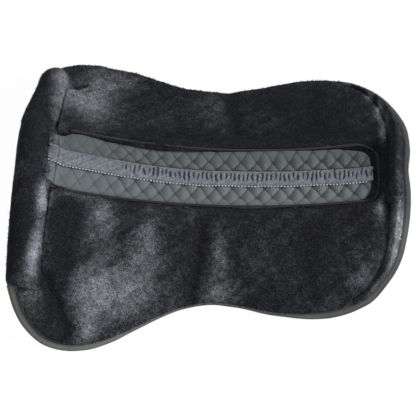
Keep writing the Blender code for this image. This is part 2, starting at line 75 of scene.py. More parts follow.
# Crease between the fleece panel and the raised rear rim, from the spine outwards
CREASE_POINTS = (
    (0.514, 0.000), (0.514, 0.044), (0.509, 0.080), (0.500, 0.115), (0.481, 0.147), (0.455, 0.168),
)
SQUARE_STEP = 0.004

# Layers, as heights above the smooth inner face
PLY_GAP = 0.0006
COVER_TOP = 0.0035
FOAM_TOP = 0.0100

# Fleece panels
PANEL_FOOT = 0.0042
PANEL_EDGE = 0.0085
PANEL_TOP = 0.0185
PANEL_INNER = 0.0432
PANEL_SEAM_END = 0.169
PANEL_CORNER = (0.0635, 0.1768)
PANEL_GAP = 0.0005
PANEL_HEM_END = (0.449, 0.188)
CREASE_GAP = (0.0005, 0.0004)
CREASE_START = 0.064
PANEL_REAR_CORNER = ((0.496, PANEL_INNER), (0.503, 0.0442), (0.509, 0.0480), (0.5125, 0.0545))
# Where the panel starts, as a share of the hem, and the way it runs round the end of the roll
PANEL_START = {1: 0.026, -1: 0.008}
ROUND_ROLL_END = {1: (), -1: ((0.0560, 0.1800), (0.0480, 0.1812))}
# How far from its edges the panel's top starts to round down: beside the channel, at the front and the
# rear, and along the hem
INNER_ROUNDING = 0.014
END_ROUNDINGS = (0.020, 0.024)
OUTER_ROUNDING = 0.030
PANEL_LENGTH = 0.45
# How far the fleece bulges out over the hem binding, with where along u that starts and fades
OVERHANG = {1: 0.0070, -1: 0.0080}
OVERHANG_STARTS = {1: (0.00, 0.05), -1: (0.09, 0.22)}
OVERHANG_FADES = {1: (0.36, 0.45), -1: (0.33, 0.44)}
OVERHANG_LOSS = 0.80
# How far the fleece leans over the channel's edge, as how far, where along u and half width. On the right
# it also leans by a level with a wave.
EDGE_BULGES = {
    1: ((0.0075, 0.195, 0.055), (-0.0010, 0.36, 0.06)),
    -1: ((-0.0015, 0.24, 0.08), (-0.0030, 0.33, 0.06)),
}
RIGHT_EDGE_LEVEL = 0.0015
RIGHT_EDGE_WAVE = 0.0010
RIGHT_EDGE_TURNS = 31
LEAN_ON_ROLL = 0.0034
# The part of the panel that its foam takes up, as where it starts and its size, both as shares
FOAM_ALONG = (0.12, 0.79)
FOAM_ACROSS = (0.12, 0.76)

# Tufts of pile. Leans and turns are in radians, and a lean is measured from upright.
PILE_LENGTH = 0.0040
PILE_WIDTH = 0.0013
PILE_SPACING = 0.0019
PILE_SINK = 0.0008
PILE_LEAN = 1.15
PILE_LEAN_SPREAD = 0.18
PILE_LEAN_LIMITS = (0.4, 1.45)
PILE_TURN_SPREAD = 0.5
PILE_HEIGHTS = (0.65, 1.25)
PILE_WIDTHS = (0.7, 1.3)
PILE_SHADE_SPREADS = (0.32, 0.06)
# Painted shade: the ground under the tufts and the tufts' roots are darker than their tips.
GROUND_SHADE = 0.7
ROOT_SHADE = 0.80

# Front roll
ROLL_HALF_LENGTH = 0.176
ROLL_SWEEP_START = 0.035
ROLL_SWEEP = 0.185
SWEEP_SOFTNESS = 0.030
SEAM_AT_SPINE = 0.055
SEAM_AT_END = 0.070
ROLL_HEIGHT = 0.029
ROLL_SECTION = (
    (0.05, 0.10), (-0.03, 0.42), (0.05, 0.75), (0.22, 0.94), (0.43, 1.00), (0.63, 0.92),
    (0.81, 0.70), (0.93, 0.40), (0.99, 0.12), (0.85, 0.00), (0.50, 0.00), (0.15, 0.00),
)
# Its section where the quilted strip is sewn onto it and presses it down
PRESSED_SECTION = (
    (0.05, 0.10), (-0.03, 0.42), (0.05, 0.75), (0.20, 0.92), (0.38, 0.92), (0.55, 0.72),
    (0.72, 0.46), (0.88, 0.25), (0.99, 0.12), (0.85, 0.00), (0.50, 0.00), (0.15, 0.00),
)
PRESSED_IN = 0.006
PRESSED_OUT = 0.026
ROLL_MIDDLE = (0.48, 0.47)
ROLL_REACH = {1: 0.017, -1: 0.002}
ROLL_END_ROUNDING = 0.020
ROLL_SWELL = 0.013
ROLL_LEAN = 0.0016
ROLL_SIZE = 0.95
ROLL_WADDING_SIZE = 0.72
ROLL_WADDING_SHORT = 0.012

# Rear rim. The outer third of its width lies over the hem binding.
RIM_HEIGHT = 0.022
RIM_END_HEIGHT = 0.0070
RIM_LENGTH = 0.2
RIM_END_ROUNDING = 0.012
RIM_LUMP = 0.05
RIM_OVER_TAPE = (0.66, 0.72)
RIM_TAPE_LEVEL = 0.0076
RIM_OVERLAP = 0.0045
RIM_SIZE = 0.92
RIM_WADDING_SIZE = 0.70
RIM_WADDING_SHORT = 0.05
RIM_SECTION = (
    (0.06, 0.08), (0.14, 0.34), (0.32, 0.66), (0.56, 0.94), (0.80, 0.95), (0.97, 0.58),
    (0.98, 0.10), (0.75, 0.00), (0.25, 0.00),
)
RIM_MIDDLE = (0.50, 0.45)
RIM_HEM_END = (0.461, 0.183)

# Recess between the strip's rear end and the rim
RECESS_START = 0.464
RECESS_LENGTH = 0.054
RECESS_HALF = 0.057
RECESS_CLIMB = 0.0070

# Spine channel
STRIP_HALF = 0.0388
STRIP_THICKNESS = 0.0034
STRIP_FRONT = 0.0410
STRIP_REAR = 0.4900
STRIP_CORNER = 0.022
STRIP_NARROWINGS = (0.0120, 0.0060)
STRIP_EDGE_ROUNDING = 0.005
STRIP_LEVEL = 0.0013
STRIP_SWELL = 0.0044
SEAM_AT_ROLL = 0.0555
SEAM_WIDTH = 0.0011
SEAM_DEPTH = 0.0014
# Painted shade on each half of the strip, most on the far half, which faces away from the light
STRIP_PAINTED_SHADE = {1: 0.38, -1: 0.06}
DIAMOND_LONG = 0.0222
DIAMOND_WIDE = 0.0270
DIAMOND_LINE = 0.085
# Where along u the quilting rises from nearly flat, at the strip's front end, to full
QUILTING_RISES = (0.09, 0.17)
WALL_CLIMB = 0.0088
BAND_HALF = 0.0105
BAND_FOOT = 0.0003
BAND_DOME = 0.0047
BAND_SINK = 0.0024
ELASTIC_HALF = 0.0078
ELASTIC_TOP = 0.0023
RIDGE_PITCH = 0.0063
# Stitches, as their pitch and their length and radius
BAND_STITCH_PITCH = 0.0045
BAND_STITCH = (0.0029, 0.00065)
BAND_STITCH_OFF = 0.0009
BAND_STITCH_LIFT = 0.0006
DIAMOND_STITCH_PITCH = 0.0031
DIAMOND_STITCH = (0.0024, 0.00028)
GATHERS_START = (0.125, 0.19)
BAND_STRAY = 0.0030
BAND_STRAY_AT = (0.40, 0.485)
PIPING_RADIUS = 0.0013
PIPING_HEIGHTS = (0.0158, 0.0058)
PIPING_DROPS_AT = (0.470, 0.500)
PIPING_PATH = (
    (0.072, 0.0420), (0.200, 0.0420), (0.340, 0.0420), (0.470, 0.0418), (0.484, 0.0412),
    (0.494, 0.0370), (0.499, 0.0290), (0.501, 0.0150), (0.5015, 0.0),
)

# Smooth quilted lining under the pad
LINING_INSET = 0.0036
LINING_TURN = (0.470, 0.177)
LINING_FOOT = 0.0022
LINING_PUFF = 0.0026

# Hem binding. Its profile is distances out from the hem and heights, and starts on its inner edge.
BINDING_WIDTH = 0.0105
BINDING_PROFILE = (
    (-0.0105, 0.0046), (-0.0104, 0.0062), (-0.0092, 0.0064), (-0.0083, 0.0057), (-0.0074, 0.0064),
    (-0.0030, 0.0062), (-0.0006, 0.0050), (0.0000, 0.0020), (-0.0006, -0.0012), (-0.0030, -0.0023),
    (-0.0100, -0.0023), (-0.0105, -0.0015), (-0.0100, -0.0007), (-0.0040, -0.0006), (-0.0019, 0.0002),
    (-0.0019, 0.0034), (-0.0040, 0.0042),
)
GROOVE = -0.0086
GROOVE_WIDTH = 0.0006
# The tape is duller on the rear lobe. This is by how much, and where along u it becomes so.
TAPE_DULLED = 0.36
TAPE_DULLED_AT = (0.33, 0.46)
HEM_STITCH_LINE = 0.0083
HEM_STITCH_LIFT = 0.0060
HEM_STITCH_PITCH = 0.0033
HEM_STITCH = (0.0026, 0.0004)

# Folding, as distances from the spine between which a piece would turn from the spine's body to the flank's;
# no piece is turned by them
FOLD_START = 0.012
FOLD_END = 0.090

# Camera
EYE = (0.1965, -1.0356, 1.6821)
EYE_RIGHT = (0.9944, 0.0335, -0.1007)
EYE_UP = (0.0235, 0.8557, 0.5170)
EYE_LENS = 121.5
FILM_WIDTH = 36

# Lamps, as name, place, size and watts
LAMPS = (
    ("key", (1.75, -0.35, 1.05), 0.8, 76), ("fill", (-0.2, -1.6, 1.5), 1.4, 34),
    ("back", (-0.6, 1.4, 1.5), 1.4, 8),
)
FLOOR_SIZE = 12
FLOOR_DROP = 0.0005
FLOOR_COLOUR = (0.86, 0.86, 0.86, 1)
FLOOR_GLOW = 0.96
SKY_LIGHT = 0.30
WHITE = (1, 1, 1, 1)

# Colours, each as its dark and its pale end
PILE_COLOURS = ((0.0045, 0.0046, 0.0066), (0.440, 0.462, 0.500))
QUILT_COLOURS = ((0.015, 0.018, 0.020), (0.079, 0.090, 0.097))
CASING_COLOURS = ((0.013, 0.016, 0.020), (0.117, 0.128, 0.147))
PIPING_COLOURS = ((0.0030, 0.0032, 0.0040), (0.0080, 0.0088, 0.0110))
TAPE_COLOURS = ((0.010, 0.011, 0.011), (0.112, 0.119, 0.110))
DARK_THREAD_COLOURS = ((0.010, 0.010, 0.012), (0.040, 0.042, 0.046))
PALE_THREAD_COLOURS = ((0.120, 0.124, 0.130), (0.700, 0.710, 0.720))
ELASTIC_COLOURS = ((0.45, 0.45, 0.43), (0.70, 0.70, 0.67))
FOAM_COLOURS = ((0.42, 0.39, 0.30), (0.60, 0.56, 0.45))
WADDING_COLOURS = ((0.55, 0.55, 0.53), (0.80, 0.80, 0.78))
SHEEN_TINT = (0.7, 0.76, 0.9)

# The left flank's front corner lies pushed back by this share of its distance from the spine.
SKEW = 0.086
SKEW_START = 0.030
SKEW_END = 0.185
SKEW_FADE = (0.03, 0.14)
# How the soft pad has settled: flat middle, half sizes, and its shift in u, in s and in height
SETTLED = (
    ((0.482, -0.174), (0.022, 0.022), (0.0000, -0.0050, 0.0000)),
    ((0.445, 0.200), (0.070, 0.075), (0.0030, 0.0075, 0.0030)),
    ((0.550, 0.090), (0.040, 0.040), (0.0035, 0.0000, 0.0000)),
    ((0.540, -0.130), (0.060, 0.040), (0.0025, -0.0035, 0.0000)),
    ((0.550, -0.010), (0.030, 0.035), (-0.0030, 0.0000, 0.0000)),
    ((0.045, 0.215), (0.045, 0.045), (-0.0035, 0.0060, 0.0040)),
    ((0.000, 0.000), (0.035, 0.040), (-0.0030, 0.0000, 0.0000)),
    ((0.150, -0.260), (0.100, 0.040), (0.0000, -0.0030, 0.0000)),
)

# Soft folds in the fleece, as flat start, flat end, half width and depth (a ridge has less than 0)
FOLDS = (
    ((0.258, -0.071), (0.251, -0.169), 0.008, 0.0035), ((0.281, -0.088), (0.272, -0.168), 0.010, -0.002),
    ((0.070, -0.160), (0.086, -0.190), 0.006, 0.0065), ((0.086, -0.190), (0.106, -0.222), 0.009, 0.005),
    ((0.154, -0.092), (0.158, -0.122), 0.010, 0.0022), ((0.076, 0.166), (0.092, 0.176), 0.006, 0.0055),
    ((0.300, 0.075), (0.292, 0.160), 0.012, 0.0025), ((0.395, -0.080), (0.405, -0.160), 0.014, 0.002),
    ((0.400, 0.090), (0.410, 0.165), 0.014, 0.002), ((0.120, 0.205), (0.140, 0.190), 0.010, 0.002),
)
# Painted sheen and shade in the pile: patches where the brushed pile catches the light (more than 0) and
# where it lies in shade (less than 0), as flat middle, half sizes and brightness
SHEEN_AND_SHADE_MARKS = (
    ((0.100, 0.118), (0.036, 0.042), 0.68), ((0.120, 0.190), (0.034, 0.048), 0.50),
    ((0.160, 0.190), (0.025, 0.025), 0.22), ((0.075, 0.140), (0.015, 0.040), 0.20),
    ((0.055, 0.175), (0.020, 0.025), 0.22), ((0.270, 0.125), (0.030, 0.045), 0.20),
    ((0.110, 0.070), (0.030, 0.020), 0.18), ((0.430, 0.175), (0.050, 0.012), 0.10),
    ((0.047, 0.085), (0.013, 0.050), 0.36), ((0.052, 0.160), (0.015, 0.045), 0.40),
    ((0.040, -0.012), (0.006, 0.020), 0.30),
    ((0.508, 0.070), (0.005, 0.030), 0.75), ((0.500, 0.112), (0.005, 0.022), 0.75),
    ((0.485, 0.145), (0.006, 0.016), 0.60), ((0.022, 0.100), (0.018, 0.090), -0.14),
    ((0.190, -0.110), (0.020, 0.050), 0.38), ((0.125, -0.175), (0.026, 0.040), 0.38),
    ((0.170, -0.175), (0.045, 0.030), 0.28), ((0.130, -0.222), (0.014, 0.026), 0.36),
    ((0.085, -0.047), (0.020, 0.006), 0.35), ((0.085, -0.078), (0.022, 0.012), -0.30),
    ((0.125, -0.070), (0.028, 0.030), 0.36), ((0.088, -0.150), (0.012, 0.050), -0.25),
    ((0.264, -0.095), (0.010, 0.040), -0.15), ((0.286, -0.115), (0.013, 0.045), 0.26),
    ((0.290, -0.160), (0.030, 0.012), 0.24), ((0.480, -0.150), (0.030, 0.022), 0.22),
    ((0.526, -0.078), (0.011, 0.026), 0.48), ((0.512, -0.125), (0.010, 0.030), 0.50),
    ((0.500, -0.060), (0.008, 0.020), 0.20), ((0.044, -0.055), (0.011, 0.022), 0.68),
    ((0.048, -0.125), (0.011, 0.040), 0.76), ((0.055, -0.190), (0.018, 0.018), 0.30),
    ((0.022, -0.100), (0.014, 0.080), -0.14), ((0.510, 0.000), (0.018, 0.045), -0.15),
    ((0.155, -0.150), (0.060, 0.065), 0.22), ((0.085, -0.225), (0.030, 0.020), 0.14),
    ((0.532, 0.030), (0.009, 0.030), 0.16),
    ((0.532, -0.025), (0.012, 0.030), 0.12), ((0.522, 0.085), (0.008, 0.020), 0.15),
    ((0.503, -0.050), (0.004, 0.016), 0.28), ((0.265, -0.130), (0.090, 0.070), 0.05),
    ((0.240, 0.100), (0.070, 0.050), 0.08), ((0.300, 0.056), (0.190, 0.018), -0.16),
    ((0.430, 0.120), (0.060, 0.060), -0.03),
)
# Painted sheen of the pile: its base level, its broad and fine mottling, and how much painted shade its folds
# get
PILE_SHEEN_BASE = 0.078
PILE_SHEEN_BROAD = 0.08
PILE_SHEEN_FINE = 0.095
FOLD_SHADE = 55


def quadratic(values, u):
    """The smooth curve through three values at the front edge, halfway and the rear edge."""
    t = u / PAD_LENGTH
    front, middle, rear = values
    return front * (1 - t) * (1 - 2 * t) + middle * 4 * t * (1 - t) + rear * t * (2 * t - 1)


def slope(u, s):
    """How steeply the pad falls away from the spine at s, in radians."""
    edge = quadratic(CHANNEL_SLOPES, u)
    gain = (quadratic(FLANK_SLOPES, u) - edge) / (FLANK_STATION - CHANNEL_HALF)
    return np.radians(np.where(s < CHANNEL_HALF, edge * s / CHANNEL_HALF, edge + gain * (s - CHANNEL_HALF)))


def place(u, s, h):
    """The points of the standing pad that belong to flat points."""
    side = np.where(s < 0, -1.0, 1.0)
    reach = np.abs(s)
    out, drop = np.zeros_like(reach), np.zeros_like(reach)
    for step in range(FALL_STEPS):
        fall = slope(u, reach * (step + 0.5) / FALL_STEPS)
        out += np.cos(fall) * reach / FALL_STEPS
        drop += np.sin(fall) * reach / FALL_STEPS
    lean = slope(u, reach)
    out += h * np.sin(lean)
    drop -= h * np.cos(lean)
    pitch = FRONT_PITCH + u / TOPLINE_RADIUS
    x = TOPLINE_RADIUS * (np.sin(pitch) - math.sin(FRONT_PITCH)) + drop * np.sin(pitch)
    z = TOPLINE_RADIUS * (math.cos(FRONT_PITCH) - np.cos(pitch)) - drop * np.cos(pitch)
    return np.stack((x + FRONT_X, side * out, z + FRONT_HEIGHT), -1)


def smooth_path(points, closed=False, per_span=8):
    """A smooth curve through the points, as a dense list of them."""
    p = np.array(points, float)
    ends = (p[-1:], p[:2]) if closed else (2 * p[:1] - p[1:2], 2 * p[-1:] - p[-2:-1])
    p = np.vstack((ends[0], p, ends[1]))
    t = (np.arange(per_span) / per_span)[:, None]
    spans = []
    for a, b, c, d in zip(p[:-3], p[1:-2], p[2:-1], p[3:]):
        spans.append(0.5 * (2 * b + (c - a) * t + (2 * a - 5 * b + 4 * c - d) * t**2
                            + (3 * b - a - 3 * c + d) * t**3))
    return np.vstack(spans + [p[-2:-1]])


class Path:
    """A flat curve that is read by its share of length."""

    def __init__(self, points):
        self.points = np.array(points, float)
        steps = np.linalg.norm(np.diff(self.points, axis=0), axis=1)
        self.lengths = np.concatenate(((0.0,), np.cumsum(steps)))

    def at(self, share):
        """The points at shares of the length."""
        length = np.asarray(share) * self.lengths[-1]
        return np.stack([np.interp(length, self.lengths, self.points[:, i])
                         for i in range(self.points.shape[1])], -1)

    def square_to(self, share):
        """The unit direction square to the curve, on the left of the way it runs."""
        share = np.asarray(share)
        ahead = self.at(np.minimum(1, share + SQUARE_STEP)) - self.at(np.maximum(0, share - SQUARE_STEP))
        ahead /= np.linalg.norm(ahead, axis=-1, keepdims=True)
        return np.stack((-ahead[..., 1], ahead[..., 0]), -1)

    def share_of(self, point):
        """The share of the length at which the curve passes a point."""
        nearest = np.argmin(np.linalg.norm(self.points - np.array(point), axis=1))
        return self.lengths[nearest] / self.lengths[-1]

    def between(self, start, end, inset=0.0, count=200):
        """The stretch between two shares, moved by an inset to the right of the way the curve runs."""
        shares = np.linspace(start, end, count)
        return Path(self.at(shares) - self.square_to(shares) * inset)


HEM = Path(smooth_path(HEM_POINTS))
CREASE = Path(smooth_path(CREASE_POINTS))


def front_edge(s):
    """u of the front edge, which sweeps back away from the spine."""
    past = np.abs(s) - ROLL_SWEEP_START
    return ROLL_SWEEP * (past + np.hypot(past, SWEEP_SOFTNESS)) / 2


def seam(s):
    """u of the seam behind the front roll."""
    return SEAM_AT_SPINE + (SEAM_AT_END - SEAM_AT_SPINE) * (np.abs(s) / ROLL_HALF_LENGTH) ** 2


def strip_base(u):
    """Height on which the quilted strip lies: on the cover, and at its front on the pressed-down roll."""
    us = [p * seam(0.0) for p, _ in PRESSED_SECTION[3:9]] + [seam(0.0) + 0.008]
    hs = [COVER_TOP + 3 * PLY_GAP + q * ROLL_HEIGHT for _, q in PRESSED_SECTION[3:9]] + [COVER_TOP + PLY_GAP]
    return sum(np.interp(u + step, us, hs) for step in (-0.003, -0.001, 0.001, 0.003)) / 4


def smoothstep(low, high, value):
    """The soft rise from 0 at low to 1 at high."""
    t = np.clip((value - low) / (high - low), 0, 1)
    return t * t * (3 - 2 * t)


def bell(value, middle, width):
    """A soft bump of 1 at the middle that is gone two widths away."""
    return np.exp(-((value - middle) / width) ** 2)


def noise(u, s, size, seed=0):
    """Soft noise from -1 to 1 that changes over a size."""
    x, y = u / size + 3.7 * seed, s / size + 1.9 * seed
    i, j = np.floor(x), np.floor(y)
    fx, fy = x - i, y - j
    fx, fy = fx * fx * (3 - 2 * fx), fy * fy * (3 - 2 * fy)

    def corner(di, dj):
        return np.modf(np.sin((i + di) * 127.1 + (j + dj) * 311.7 + seed * 7.3) * 43758.5453)[0]

    low = corner(0, 0) * (1 - fx) + corner(1, 0) * fx
    high = corner(0, 1) * (1 - fx) + corner(1, 1) * fx
    return low * (1 - fy) + high * fy


def rumple(u, s, size, seed=0):
    """Noise with finer noise on it, twice halved in size and strength."""
    return sum(noise(u, s, size / 2**i, seed + i) / 2**i for i in range(3))


def rounded(start, share):
    """Rise of a rounded edge, from start at the edge to 1."""
    share = np.clip(start + share, 0.0, 1.0)
    return np.sqrt(1 - (1 - share) ** 2)


def settle(u, s, h):
    """Where a flat point lies in the soft pad that has settled a little unevenly, with signed s."""
    shift = np.zeros((3, len(u)))
    for middle, sizes, way in SETTLED:
        share = bell(u, middle[0], sizes[0]) * bell(s, middle[1], sizes[1])
        shift += np.array(way)[:, None] * share
    shift[0] += SKEW * (np.clip(s, SKEW_START, SKEW_END) - SKEW_START) * (1 - smoothstep(*SKEW_FADE, u))
    return u + shift[0], s + shift[1], h + shift[2]


def folds(u, s):
    """How far the fleece sinks into its soft folds."""
    sunk = np.zeros_like(u)
    for start, end, width, depth in FOLDS:
        start, way = np.array(start), np.array(end) - np.array(start)
        t = np.clip(((u - start[0]) * way[0] + (s - start[1]) * way[1]) / (way @ way), 0, 1)
        off = np.hypot(u - start[0] - t * way[0], s - start[1] - t * way[1])
        sunk += depth * bell(off, 0, width)
    return sunk


def pile_sheen_and_shade(u, s):
    """Painted sheen and shade of the pile, from 0 to 1: brighter where the brushed pile catches the light,
    darker where it lies in shade or sinks into a fold.
    """
    bright = PILE_SHEEN_BASE + PILE_SHEEN_BROAD * rumple(u, s * 0.6, 0.040, 3) + PILE_SHEEN_FINE * rumple(u, s * 0.7, 0.009, 8)
    for middle, sizes, gain in SHEEN_AND_SHADE_MARKS:
        bright += gain * bell(u, middle[0], sizes[0]) * bell(s, middle[1], sizes[1])
    # Painted shade where the fleece sinks into its folds.
    return np.clip(bright - FOLD_SHADE * np.maximum(folds(u, s), 0), 0.0, 1.0)


def comb(u, s):
    """The way the pile lies, as an angle in the flat pad with signed s."""
    outwards = 1.5 * np.tanh(s / 0.03) * smoothstep(0.020, 0.050, np.abs(s) + np.maximum(u - 0.05, 0))
    over_channel = 1 - 2 * (1 - smoothstep(0.046, 0.056, np.abs(s))) * smoothstep(0.058, 0.064, u)
    return outwards * over_channel + 0.9 * rumple(u, s, 0.05, 21) + 0.4 * noise(u, s, 0.012, 30)


def fringe(u, s):
    """How much longer the pile is that hangs over the strip's front end and long edges."""
    front = bell(u, 0.0400, 0.0050) * (1 - smoothstep(0.030, 0.038, s))
    edges = bell(s, PANEL_INNER, 0.003) * smoothstep(0.060, 0.066, u)
    return 1 + 1.5 * front + 0.5 * edges


def quilting(u, s):
    """Distance to the nearest line of diamond quilting, from 0 on a line to 1 in the middle."""
    drift = 0.08 * noise(u, s, 0.030, 14)
    a, b = u / DIAMOND_LONG + s / DIAMOND_WIDE + drift, u / DIAMOND_LONG - s / DIAMOND_WIDE - drift
    return np.abs(np.sin(np.pi * a)) * np.abs(np.sin(np.pi * b))


def puff(u, s):
    """The swell of the quilting's diamonds, from 0 to 1."""
    return quilting(u, s) ** 0.65


def clear_of_line_shade(u, s):
    """How clear the cloth is of painted shade in the valleys of its quilting lines, from 0 on a line to 1."""
    return 1 - 0.85 * (0.30 + 0.70 * smoothstep(*QUILTING_RISES, u)) * bell(quilting(u, s), 0, DIAMOND_LINE)


def points(made):
    """The places of a mesh's vertices."""
    at = np.empty(len(made.data.vertices) * 3)
    made.data.vertices.foreach_get("co", at)
    return at.reshape(-1, 3)


def move(made, at):
    """Puts a mesh's vertices in new places."""
    made.data.vertices.foreach_set("co", np.ascontiguousarray(at, float).ravel())
    made.data.update()


def attribute(made, name, values):
    """Stores one value for each vertex, for a material to read."""
    found = made.data.attributes.get(name) or made.data.attributes.new(name, "FLOAT", "POINT")
    found.data.foreach_set("value", np.ascontiguousarray(values, np.float32))


def added(name):
    """The primitive that was just added, renamed and with its place in its mesh."""
    made = bpy.context.object
    made.name = made.data.name = name
    made.data.transform(made.matrix_world)
    made.matrix_world = Matrix.Identity(4)
    return made


def slab(name, rows, columns, low, high):
    """A closed sheet with thickness. low(a, b) and high(a, b) give the flat points of its two sides."""
    bpy.ops.object.select_all(action="DESELECT")
    bpy.ops.mesh.primitive_grid_add(x_subdivisions=rows, y_subdivisions=columns, size=1,
                                    location=(0.5, 0.5, 0))
    made = added(name)
    bpy.ops.object.mode_set(mode="EDIT")
    bpy.ops.mesh.select_all(action="SELECT")
    bpy.ops.mesh.extrude_region_move(TRANSFORM_OT_translate={"value": (0, 0, 1)})
    bpy.ops.object.mode_set(mode="OBJECT")
    at = points(made)
    top = at[:, 2] > 0.5
    laid = np.empty_like(at)
    laid[top] = np.stack(np.broadcast_arrays(*high(at[top, 0], at[top, 1])), -1)
    laid[~top] = np.stack(np.broadcast_arrays(*low(at[~top, 0], at[~top, 1])), -1)
    move(made, laid)
    return made


def tube(name, sides, stations, shape):
    """A closed rod. shape(turn, t) gives flat points from a share round the section and one along."""
    bpy.ops.object.select_all(action="DESELECT")
    bpy.ops.mesh.primitive_cylinder_add(vertices=sides, radius=1, depth=1, location=(0, 0, 0.5))
    made = added(name)
    bpy.ops.object.mode_set(mode="EDIT")
    bpy.ops.mesh.select_all(action="DESELECT")
    bpy.ops.object.mode_set(mode="OBJECT")
    ends = points(made)[:, 2]
    for edge in made.data.edges:
        edge.select = bool(abs(ends[edge.vertices[0]] - ends[edge.vertices[1]]) > 0.5)
    bpy.ops.object.mode_set(mode="EDIT")
    bpy.ops.mesh.select_mode(type="EDGE")
    bpy.ops.mesh.subdivide(number_cuts=stations - 2)
    bpy.ops.object.mode_set(mode="OBJECT")
    at = points(made)
    turn = np.arctan2(at[:, 1], at[:, 0]) / math.tau % 1.0
    rims = {key for face in made.data.polygons if len(face.vertices) > 4 for key in face.edge_keys}
    for edge in made.data.edges:
        edge.use_edge_sharp = edge.key in rims
    move(made, np.stack(np.broadcast_arrays(*shape(turn, at[:, 2])), -1))
    return made


def outwards(made):
    """Turns every face outwards."""
    bpy.ops.object.select_all(action="DESELECT")
    bpy.context.view_layer.objects.active = made
    made.select_set(True)
    bpy.ops.object.mode_set(mode="EDIT")
    bpy.ops.mesh.select_all(action="SELECT")
    bpy.ops.mesh.normals_make_consistent(inside=False)
    bpy.ops.object.mode_set(mode="OBJECT")


def join(made, extra):
    """Makes the extra mesh a part of the first one."""
    bpy.ops.object.select_all(action="DESELECT")
    extra.select_set(True)
    made.select_set(True)
    bpy.context.view_layer.objects.active = made
    bpy.ops.object.join()


def copies(name, template, origin, axes):
    """Many copies of a small template in one mesh, each with its own flat origin and three axes."""
    at = points(template)
    faces = [tuple(p.vertices) for p in template.data.polygons]
    placed = origin[:, None, :] + sum(at[None, :, i, None] * axes[i][:, None, :] for i in range(3))
    mesh = bpy.data.meshes.new(name)
    every = [tuple(k * len(at) + v for v in face) for k in range(len(origin)) for face in faces]
    mesh.from_pydata(placed.reshape(-1, 3).tolist(), [], every)
    made = bpy.data.objects.new(name, mesh)
    bpy.context.scene.collection.objects.link(made)
    return made


def pile(made, side, seed, keep):
    """Grows tufts of pile on the flat piece where keep(u, s, h, normals) allows, and joins them to it."""
    outwards(made)
    made.data.calc_loop_triangles()
    corners = np.empty(len(made.data.loop_triangles) * 3, int)
    made.data.loop_triangles.foreach_get("vertices", corners)
    a, b, c = (points(made)[corners.reshape(-1, 3)[:, i]] for i in range(3))
    normal = np.cross(b - a, c - a)
    area = np.linalg.norm(normal, axis=1) / 2
    normal /= np.maximum(2 * area, 1e-12)[:, None]
    middle = (a + b + c) / 3
    area = area * keep(middle[:, 0], middle[:, 1], middle[:, 2], normal)
    rng = np.random.default_rng(seed)
    count = int(area.sum() / PILE_SPACING**2)
    picked = rng.choice(len(area), size=count, p=area / area.sum())
    r1, r2 = np.sqrt(rng.random(count))[:, None], rng.random(count)[:, None]
    root = a[picked] * (1 - r1) + b[picked] * r1 * (1 - r2) + c[picked] * r1 * r2
    up = normal[picked]
    angle = comb(root[:, 0], side * root[:, 1]) * side + rng.normal(0, PILE_TURN_SPREAD, count)
    lie = np.stack((np.cos(angle), np.sin(angle), np.zeros(count)), -1)
    lie -= up * (lie * up).sum(1)[:, None]
    lie /= np.maximum(np.linalg.norm(lie, axis=1), 1e-6)[:, None]
    longer = fringe(root[:, 0], root[:, 1])
    lean = rng.normal(PILE_LEAN, PILE_LEAN_SPREAD, count) - 0.30 * (longer - 1)
    lean = np.clip(lean, *PILE_LEAN_LIMITS)[:, None]
    tall = (PILE_LENGTH * longer * rng.uniform(*PILE_HEIGHTS, count))[:, None]
    point = up * np.cos(lean) + lie * np.sin(lean)
    cross = np.cross(point, up)
    cross /= np.maximum(np.linalg.norm(cross, axis=1), 1e-6)[:, None]
    wide = PILE_WIDTH * rng.uniform(*PILE_WIDTHS, count)[:, None]
    bpy.ops.object.select_all(action="DESELECT")
    bpy.ops.mesh.primitive_cone_add(vertices=3, radius1=0.5, radius2=0, depth=1, location=(0, 0, 0.5))
    cone = added("tuft")
    axes = (cross * wide, np.cross(cross, point) * wide, point * tall)
    tufts = copies("tufts", cone, root - up * PILE_SINK, axes)
    per = len(cone.data.vertices)
    bpy.data.objects.remove(cone)
    share_spread, plain_spread = PILE_SHADE_SPREADS
    # Each tuft gets the painted sheen and shade with a random spread; the ground and the roots get painted
    # shade.
    shade = pile_sheen_and_shade(root[:, 0], side * root[:, 1]) * rng.normal(1, share_spread, count)
    shade += rng.normal(0, plain_spread, count)
    attribute(made, "pile_sheen_and_shade", GROUND_SHADE * pile_sheen_and_shade(points(made)[:, 0], side * points(made)[:, 1]))
    tips = np.tile(np.arange(per) == per - 1, count)
    attribute(tufts, "pile_sheen_and_shade", np.repeat(np.clip(shade, 0, 1), per) * np.where(tips, 1.0, ROOT_SHADE))
    join(made, tufts)
    return made


def lay(made, side, floor=False):
    """Lays a flat piece on the standing pad, on its own side."""
    at = points(made)
    laid = place(*settle(at[:, 0], side * at[:, 1], at[:, 2]))
    if floor:
        laid[:, 2] = np.maximum(laid[:, 2], 0)
    move(made, laid)
    outwards(made)
    return made


def dress(made, look, slot_name, side, *nodes):
    """Gives a laid piece its material and its smooth shading, and hangs a middle piece on the spine's body.
    """
    made.data.materials.clear()
    made.data.materials.append(look)
    made.data.shade_smooth()
    if nodes:
        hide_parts(*nodes)
    if side:
        body = "left_flank" if side > 0 else "right_flank"
        side * FOLD_START
        side * FOLD_END
        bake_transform(made)
    else:
        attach(made, "spine")
    return made


def side_name(side):
    """The name of a flank."""
    return "left" if side > 0 else "right"


